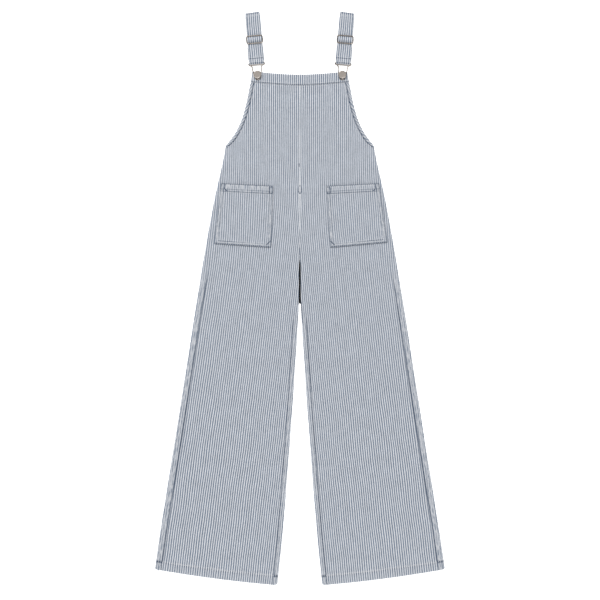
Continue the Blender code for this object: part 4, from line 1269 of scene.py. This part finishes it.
def wire(points, radius, closed):
    """A round wire along points, as a closed mesh."""
    curve = bpy.data.curves.new("wire", "CURVE")
    curve.dimensions = "3D"
    curve.bevel_depth = radius
    curve.bevel_resolution = 4
    curve.use_fill_caps = True
    spline = curve.splines.new("POLY")
    spline.points.add(len(points) - 1)
    for point, place in zip(spline.points, points):
        point.co = (*place, 1.0)
    spline.use_cyclic_u = closed
    guide = new_object("wire", curve)
    bpy.context.view_layer.update()
    mesh = bpy.data.meshes.new_from_object(guide.evaluated_get(bpy.context.evaluated_depsgraph_get()))
    bpy.data.objects.remove(guide)
    bpy.data.curves.remove(curve)
    welded = bmesh.new()
    welded.from_mesh(mesh)
    bmesh.ops.remove_doubles(welded, verts=welded.verts, dist=0.01 * MM)
    bmesh.ops.recalc_face_normals(welded, faces=welded.faces)
    welded.to_mesh(mesh)
    welded.free()
    return mesh


def united(name, first, second):
    """Two closed meshes made into one body."""
    piece, helper = new_object(name, first), new_object("joined_wire", second)
    union = piece.modifiers.new("Joined", "BOOLEAN")
    union.operation = "UNION"
    union.object = helper
    bpy.context.view_layer.update()
    mesh = bpy.data.meshes.new_from_object(piece.evaluated_get(bpy.context.evaluated_depsgraph_get()))
    bpy.data.objects.remove(piece)
    bpy.data.objects.remove(helper)
    mesh.name = name
    mesh.shade_smooth()
    mesh.set_sharp_from_angle(angle=math.radians(50))
    return new_object(name, mesh)


def mirrored(half):
    return half + [(-x, y) for x, y in half[-2:0:-1]]


def highlight_and_pale_face(piece, share):
    """Marks how far each place of a metal piece takes the bright colour: painted highlights, and the buttons'
    paler faces.
    """
    layer = piece.data.attributes.new("highlight_and_pale_face", "FLOAT", "POINT")
    layer.data.foreach_set("value", np.array([share(v.co) for v in piece.data.vertices], np.float32))


def slider_piece(side):
    corner, reach = 3.8 * MM, 19.8 * MM
    flat = reach - corner
    half = [(0.0, SLIDER_HALF_HEIGHT)]
    half += arc((flat, SLIDER_HALF_HEIGHT - corner), corner, 90, 20, 9)
    half += [(reach + 0.35 * MM, 0.0)]
    half += arc((flat, corner - SLIDER_HALF_HEIGHT), corner, -20, -90, 9)
    half += [(0.0, -SLIDER_HALF_HEIGHT)]
    loop = [to_garment(side, x, SLIDER_MIDDLE + y, SLIDER_LEVEL) for x, y in mirrored(half)]
    bar = [to_garment(side, x, SLIDER_MIDDLE, SLIDER_LEVEL) for x in (-reach, reach)]
    piece = united("slider_" + side + "_nickel", wire(loop, SLIDER_WIRE, True), wire(bar, SLIDER_BAR, False))
    middle = BUTTON_Y + SLIDER_MIDDLE * math.cos(STRAP_LEAN)
    # Painted highlight on the upper faces of the slider's lower half
    highlight_and_pale_face(piece, lambda co: 0.12 * float(
        ease(co.z - SLIDER_LEVEL, 0.3 * MM, 1.1 * MM) * ease(middle - co.y, -5 * MM, 7 * MM)
    ))
    return piece


def buckle_piece(side):
    corner, reach, lower = 2.3 * MM, 19.6 * MM, 24.0 * MM
    flat = reach - corner
    half = [(0.0, BUCKLE_BAR)]
    half += arc((flat, BUCKLE_BAR - corner), corner, 90, 0, 8)
    half += arc((flat, lower + corner), corner, 0, -90, 8)
    half += [(0.0, lower)]
    loop = [to_garment(side, x, y, BUCKLE_LEVEL) for x, y in mirrored(half)]
    neck = [(16.4, 24.0), (14.9, 22.8), (13.1, 21.3), (11.7, 19.4), (11.2, 17.0), (11.4, 13.6)]
    neck += [(10.8, 9.8), (9.4, 5.2), (7.8, 0.0)]
    ring = arc((0.0, -5.4), 6.9, 12, -90, 12)
    right = np.array(neck + ring) * MM
    right, _ = fine_path(right, 0.9 * MM)
    line = np.concatenate([right, right[-2::-1] * np.array([-1, 1])])
    hook = [to_garment(side, x, y, BUCKLE_LEVEL) for x, y in line]
    piece = united(
        "buckle_" + side + "_nickel", wire(loop, BUCKLE_WIRE, True), wire(hook, BUCKLE_WIRE * 0.93, False),
    )
    # Painted highlight on the upper faces of the buckle's neck and ring
    highlight_and_pale_face(piece, lambda co: float(
        0.40 * ease(co.z - BUCKLE_LEVEL, -0.2 * MM, 1.0 * MM) * ease(co.y, 0.562, 0.568)
        * (1 - 0.7 * ease(co.y, 0.576, 0.581))
    ))
    return piece


def button_piece(side):
    """A shank button turned from its profile: a flat face in a bevelled rim, on a stem."""
    rim = bpy.context.scene.dungaree_hardware.button_radius
    foot = BAND_UPPER + SEAM_GAP
    under = BUCKLE_LEVEL + BUCKLE_WIRE + SEAM_GAP
    face = under + 3.0 * MM
    profile = [
        (0.0, face - 0.16 * MM), (0.45 * rim, face - 0.14 * MM), (0.72 * rim, face - 0.10 * MM),
        (0.80 * rim, face - 0.06 * MM), (0.835 * rim, face - 0.01 * MM), (0.86 * rim, face - 0.03 * MM),
        (0.89 * rim, face - 0.16 * MM), (0.92 * rim, face - 0.40 * MM), (0.945 * rim, face - 0.70 * MM),
        (0.968 * rim, face - 1.10 * MM), (0.988 * rim, face - 1.6 * MM),
        (rim, face - 2.0 * MM), (0.985 * rim, under + 0.45 * MM), (0.95 * rim, under + 0.14 * MM),
        (0.88 * rim, under), (4.4 * MM, under + 0.05 * MM), (4.2 * MM, under - 0.2 * MM),
        (4.2 * MM, foot + 0.3 * MM), (4.4 * MM, foot), (0.0, foot),
    ]
    shape = bmesh.new()
    corners = [shape.verts.new((x, 0.0, z)) for x, z in profile]
    edges = [shape.edges.new(pair) for pair in zip(corners, corners[1:])]
    bmesh.ops.spin(
        shape, geom=corners + edges, cent=(0, 0, 0), axis=(0, 0, 1), angle=2 * math.pi, steps=56, use_merge=True,
    )
    bmesh.ops.remove_doubles(shape, verts=shape.verts, dist=0.01 * MM)
    bmesh.ops.recalc_face_normals(shape, faces=shape.faces)
    bmesh.ops.translate(shape, verts=shape.verts, vec=(SIDES[side] * BUTTON_X, BUTTON_Y, 0.0))
    mesh = bpy.data.meshes.new("button_" + side + "_nickel")
    shape.to_mesh(mesh)
    shape.free()
    mesh.shade_smooth()
    mesh.set_sharp_from_angle(angle=math.radians(40))
    piece = new_object(mesh.name, mesh)
    middle = Vector((SIDES[side] * BUTTON_X, BUTTON_Y))
    # The face takes a flat paler tone, and the lower side of the rim a painted highlight
    def share(co):
        away = (co.to_2d() - middle).length / rim
        face_share = 0.46 * (1 - ease(away, 0.84, 0.90))
        return float(face_share + ease(away, 0.82, 0.87) * ease(BUTTON_Y - co.y, 0.35 * rim, 0.8 * rim))

    highlight_and_pale_face(piece, share)
    return piece


def fit_metal(kind, make):
    """Puts both sides' pieces of one kind of hardware on the garment."""
    for side in SIDES:
        give(make(side), kind + "_" + side, shared("nickel", nickel))
    return {"FINISHED"}


# ---------------------------------------------------------------- one operator for each kind of piece


class DUNGAREES_OT_stage(bpy.types.Operator):
    """Lay the pale floor, hang the soft lights and set the camera above the garment"""

    bl_idname = "dungarees.stage"
    bl_label = "Floor, Lights and Camera"

    def execute(self, context):
        studio = context.scene.dungaree_studio
        shape = bmesh.new()
        bmesh.ops.create_grid(shape, x_segments=8, y_segments=8, size=6.0)
        bmesh.ops.translate(shape, verts=shape.verts, vec=(0, 0, -0.2 * MM))
        mesh = bpy.data.meshes.new("floor")
        shape.to_mesh(mesh)
        shape.free()
        floor = new_object("floor", mesh)
        made = Nodes("pale_floor")
        tone = made.fit(made.cloud(made.place(), 6.0, 2.0), 0.02, 0.98)
        made.surface({
            "Base Color": made.scaled(tuple(studio.floor), tone), "Roughness": 0.9, "Specular IOR Level": 0.1,
            "Emission Color": (1.0, 1.0, 1.0, 1.0), "Emission Strength": studio.floor_glow,
        })
        mesh.materials.append(made.material)

        world = bpy.data.worlds.new("even_light")
        world.use_nodes = True
        background = world.node_tree.nodes["Background"]
        background.inputs[0].default_value = (1.0, 1.0, 1.0, 1.0)
        background.inputs[1].default_value = studio.surround
        context.scene.world = world
        for name, place, size, power in (
            ("key_light", (-2.2, 4.2, 4.6), 3.2, studio.key),
            ("fill_light", (0.9, -3.0, 1.3), 1.8, studio.fill),
        ):
            light = bpy.data.lights.new(name, "AREA")
            light.shape = "SQUARE"
            light.size = size
            light.energy = power
            lamp = bpy.data.objects.new(name, light)
            context.scene.collection.objects.link(lamp)
            lamp.location = place
            lamp.rotation_euler = (-Vector(place)).to_track_quat("-Z", "Y").to_euler()

        data = bpy.data.cameras.new("camera")
        data.sensor_width = 36.0
        data.lens = data.sensor_width * studio.camera_height / studio.view_width
        data.clip_start, data.clip_end = 0.1, 100.0
        camera = bpy.data.objects.new("camera", data)
        context.scene.collection.objects.link(camera)
        camera.location = (0.5 * MM, -5 * MM, studio.camera_height + 4 * MM)
        context.scene.camera = camera
        context.scene.view_settings.view_transform = "Standard"
        return {"FINISHED"}


class DUNGAREES_OT_backs(bpy.types.Operator):
    """Cut the two back panels, which lie flat under the fronts"""

    bl_idname = "dungarees.backs"
    bl_label = "Back Panels"

    def execute(self, context):
        step = 1.8 * context.scene.dungaree_cloth.grid_step
        for side in SIDES:
            piece = cloth_piece("back_" + side + "_denim", back_surface(side, step))
            give(piece, "back_" + side, shared("back_denim", denim))
        return {"FINISHED"}


class DUNGAREES_OT_fronts(bpy.types.Operator):
    """Cut the two front panels with their hems, turned allowances, rolled edges and creases"""

    bl_idname = "dungarees.fronts"
    bl_label = "Front Panels"

    def execute(self, context):
        step = context.scene.dungaree_cloth.grid_step
        pale = shared("pale_thread", thread, context.scene.dungaree_stitch.pale_thread)
        for side in SIDES:
            surface, (from_in, from_out, above) = front_surface(side, step)
            piece = cloth_piece("front_" + side + "_denim", surface)
            give(piece, "front_" + side, shared("front_denim", denim, 0.88, 0.63, front_shades()))
            hem_row = int(np.argmin(np.abs(above[:, 0] - HEM_DEPTH)))
            hem = surface.points[hem_row, 2:-2]
            sewn = stitching("hem_stitching_" + side, [hem], pale, *HEM_STITCH)
        return {"FINISHED"}


class DUNGAREES_OT_band(bpy.types.Operator):
    """Fold the band across the top of the bib and sew it on"""

    bl_idname = "dungarees.band"
    bl_label = "Bib Band"

    def execute(self, context):
        surface = band_surface()
        piece = cloth_piece("bib_band_denim", surface, bevel=0.8 * MM)
        give(piece, "bib_band", shared("band_denim", denim, 0.92))
        row = surface.points[-3] * 0.35 + surface.points[-2] * 0.65
        sewn = stitching("band_stitching", [row[1:-1]], blue_thread())
        return {"FINISHED"}


class DUNGAREES_OT_bindings(bpy.types.Operator):
    """Bind the two armhole edges"""

    bl_idname = "dungarees.bindings"
    bl_label = "Armhole Bindings"

    def execute(self, context):
        for side in SIDES:
            surface = binding_surface(side)
            piece = cloth_piece("armhole_binding_" + side + "_denim", surface, bevel=0.35 * MM)
            give(piece, "armhole_binding_" + side, shared("binding_denim", denim, 0.8))
            line = (surface.points[:, 10] + surface.points[:, 11]) / 2
            sewn = stitching("binding_stitching_" + side, [line[1:-1]], blue_thread())
        return {"FINISHED"}


class DUNGAREES_OT_pockets(bpy.types.Operator):
    """Lay the two patch pockets and sew them down with double rows and boxed corners"""

    bl_idname = "dungarees.pockets"
    bl_label = "Patch Pockets"

    def execute(self, context):
        for side in SIDES:
            piece = cloth_piece("pocket_" + side + "_denim", pocket_surface(side), bevel=0.4 * MM)
            give(piece, "pocket_" + side, shared("pocket_denim", denim, 0.66, None, pocket_marks()))
            width, depth = (size / MM for size in pocket_sizes(side, 0.5))
            near, far = POCKET_OUTER_ROW / MM, POCKET_INNER_ROW / MM
            clip = 3.0
            outer_row = [(near, 1.5), (near, depth - near), (width - near, depth - near), (width - near, 1.5)]
            inner_row = [
                (far, 1.5), (far, depth - far - clip), (far + clip, depth - far),
                (width - far - 5, depth - far), (width - far, depth - far - 5), (width - far, 1.5),
            ]
            lines = [outer_row, inner_row]
            lines += [[(near + 1, row / MM), (width - near - 1, row / MM)] for row in POCKET_HEM_ROWS]
            lines += [line for group in pocket_tacks(side) for line in group]
            lines = [pocket_line(side, line) for line in lines]
            sewn = stitching("pocket_stitching_" + side, lines, blue_thread())
        return {"FINISHED"}


class DUNGAREES_OT_straps(bpy.types.Operator):
    """Run each shoulder strap over its fold, through the slider and round the buckle's bar"""

    bl_idname = "dungarees.straps"
    bl_label = "Shoulder Straps"

    def execute(self, context):
        for side in SIDES:
            surface = strap_surface(side)
            piece = cloth_piece("strap_" + side + "_denim", surface, down=False, bevel=0.5 * MM)
            give(piece, "strap_" + side, shared("strap_denim", denim, 0.86))
            lines = []
            for share in (-0.87, 0.87):
                path, run, inward, points, slope = strap_levels(side, np.array([share]))
                turned = np.argmax(path[:, 0])
                top = (path[:, 1] > 2.4 * MM) & (path[:, 0] > 26 * MM)
                chosen = np.arange(len(path)) > turned + 3
                chosen &= path[:, 1] > RUN_LEVEL - 1.3 * MM
                away = np.abs(path[:, 0] - SLIDER_MIDDLE) > 11.5 * MM
                normal = np.stack([-slope[:, 1], slope[:, 0]], -1)
                normal /= np.linalg.norm(normal, axis=1)[:, None]
                lift = np.abs(normal[:, 1]) * STRAP_CLOTH / 2
                for part in (path[:, 0] > SLIDER_MIDDLE, path[:, 0] < SLIDER_MIDDLE):
                    pick = chosen & away & part & top
                    line = points[pick, 0].copy()
                    line[:, 2] += lift[pick]
                    lines.append(line)
            path, run, inward, points, slope = strap_levels(side, np.linspace(-0.9, 0.9, 13))
            chosen = np.nonzero(path[:, 1] > RUN_LEVEL - 0.5 * MM)[0]
            nearest = chosen[np.argmin(np.abs(path[chosen, 0] - STRAP_STITCH))]
            line = points[nearest].copy()
            line[:, 2] += STRAP_CLOTH / 2
            lines.append(line)
            sewn = stitching("strap_stitching_" + side, lines, blue_thread())
        return {"FINISHED"}


class DUNGAREES_OT_sliders(bpy.types.Operator):
    """Bend the two strap sliders with their centre bars"""

    bl_idname = "dungarees.sliders"
    bl_label = "Strap Sliders"

    def execute(self, context):
        return fit_metal("slider", slider_piece)


class DUNGAREES_OT_buckles(bpy.types.Operator):
    """Bend the two wire buckles, each a loop for the strap and a ring for the button"""

    bl_idname = "dungarees.buckles"
    bl_label = "Wire Buckles"

    def execute(self, context):
        return fit_metal("buckle", buckle_piece)


class DUNGAREES_OT_buttons(bpy.types.Operator):
    """Turn the two shank buttons"""

    bl_idname = "dungarees.buttons"
    bl_label = "Shank Buttons"

    def execute(self, context):
        return fit_metal("button", button_piece)


OPERATORS = (
    DUNGAREES_OT_stage, DUNGAREES_OT_backs, DUNGAREES_OT_fronts, DUNGAREES_OT_band,
    DUNGAREES_OT_bindings, DUNGAREES_OT_pockets, DUNGAREES_OT_straps, DUNGAREES_OT_sliders,
    DUNGAREES_OT_buckles, DUNGAREES_OT_buttons,
)
GROUPS = {
    "dungaree_cloth": ClothSettings,
    "dungaree_denim": DenimSettings,
    "dungaree_stitch": StitchSettings,
    "dungaree_hardware": HardwareSettings,
    "dungaree_studio": StudioSettings,
}


class DUNGAREES_PT_pieces(bpy.types.Panel):
    """The garment's pieces, sizes and colours"""

    bl_idname = "DUNGAREES_PT_pieces"
    bl_label = "Dungarees"
    bl_space_type = "VIEW_3D"
    bl_region_type = "UI"
    bl_category = "Dungarees"

    def draw(self, context):
        for operator in OPERATORS:
            self.layout.operator(operator.bl_idname)
        for name, group in GROUPS.items():
            box = self.layout.box()
            box.label(text=name.replace("dungaree_", "").title())
            for key in group.__annotations__:
                box.prop(getattr(context.scene, name), key)


def register():
    for group in GROUPS.values():
        bpy.utils.register_class(group)
    for name, group in GROUPS.items():
        setattr(bpy.types.Scene, name, bpy.props.PointerProperty(type=group))
    for operator in OPERATORS:
        bpy.utils.register_class(operator)
    bpy.utils.register_class(DUNGAREES_PT_pieces)


def unregister():
    bpy.utils.unregister_class(DUNGAREES_PT_pieces)
    for operator in reversed(OPERATORS):
        bpy.utils.unregister_class(operator)
    for name in GROUPS:
        delattr(bpy.types.Scene, name)
    for group in reversed(GROUPS.values()):
        bpy.utils.unregister_class(group)


def main():
    register()
    bpy.ops.dungarees.stage()
    bpy.ops.dungarees.backs()
    bpy.ops.dungarees.fronts()
    bpy.ops.dungarees.band()
    bpy.ops.dungarees.bindings()
    bpy.ops.dungarees.pockets()
    bpy.ops.dungarees.straps()
    bpy.ops.dungarees.sliders()
    bpy.ops.dungarees.buckles()
    bpy.ops.dungarees.buttons()
    bpy.context.view_layer.update()


if __name__ == "__main__":
    main()
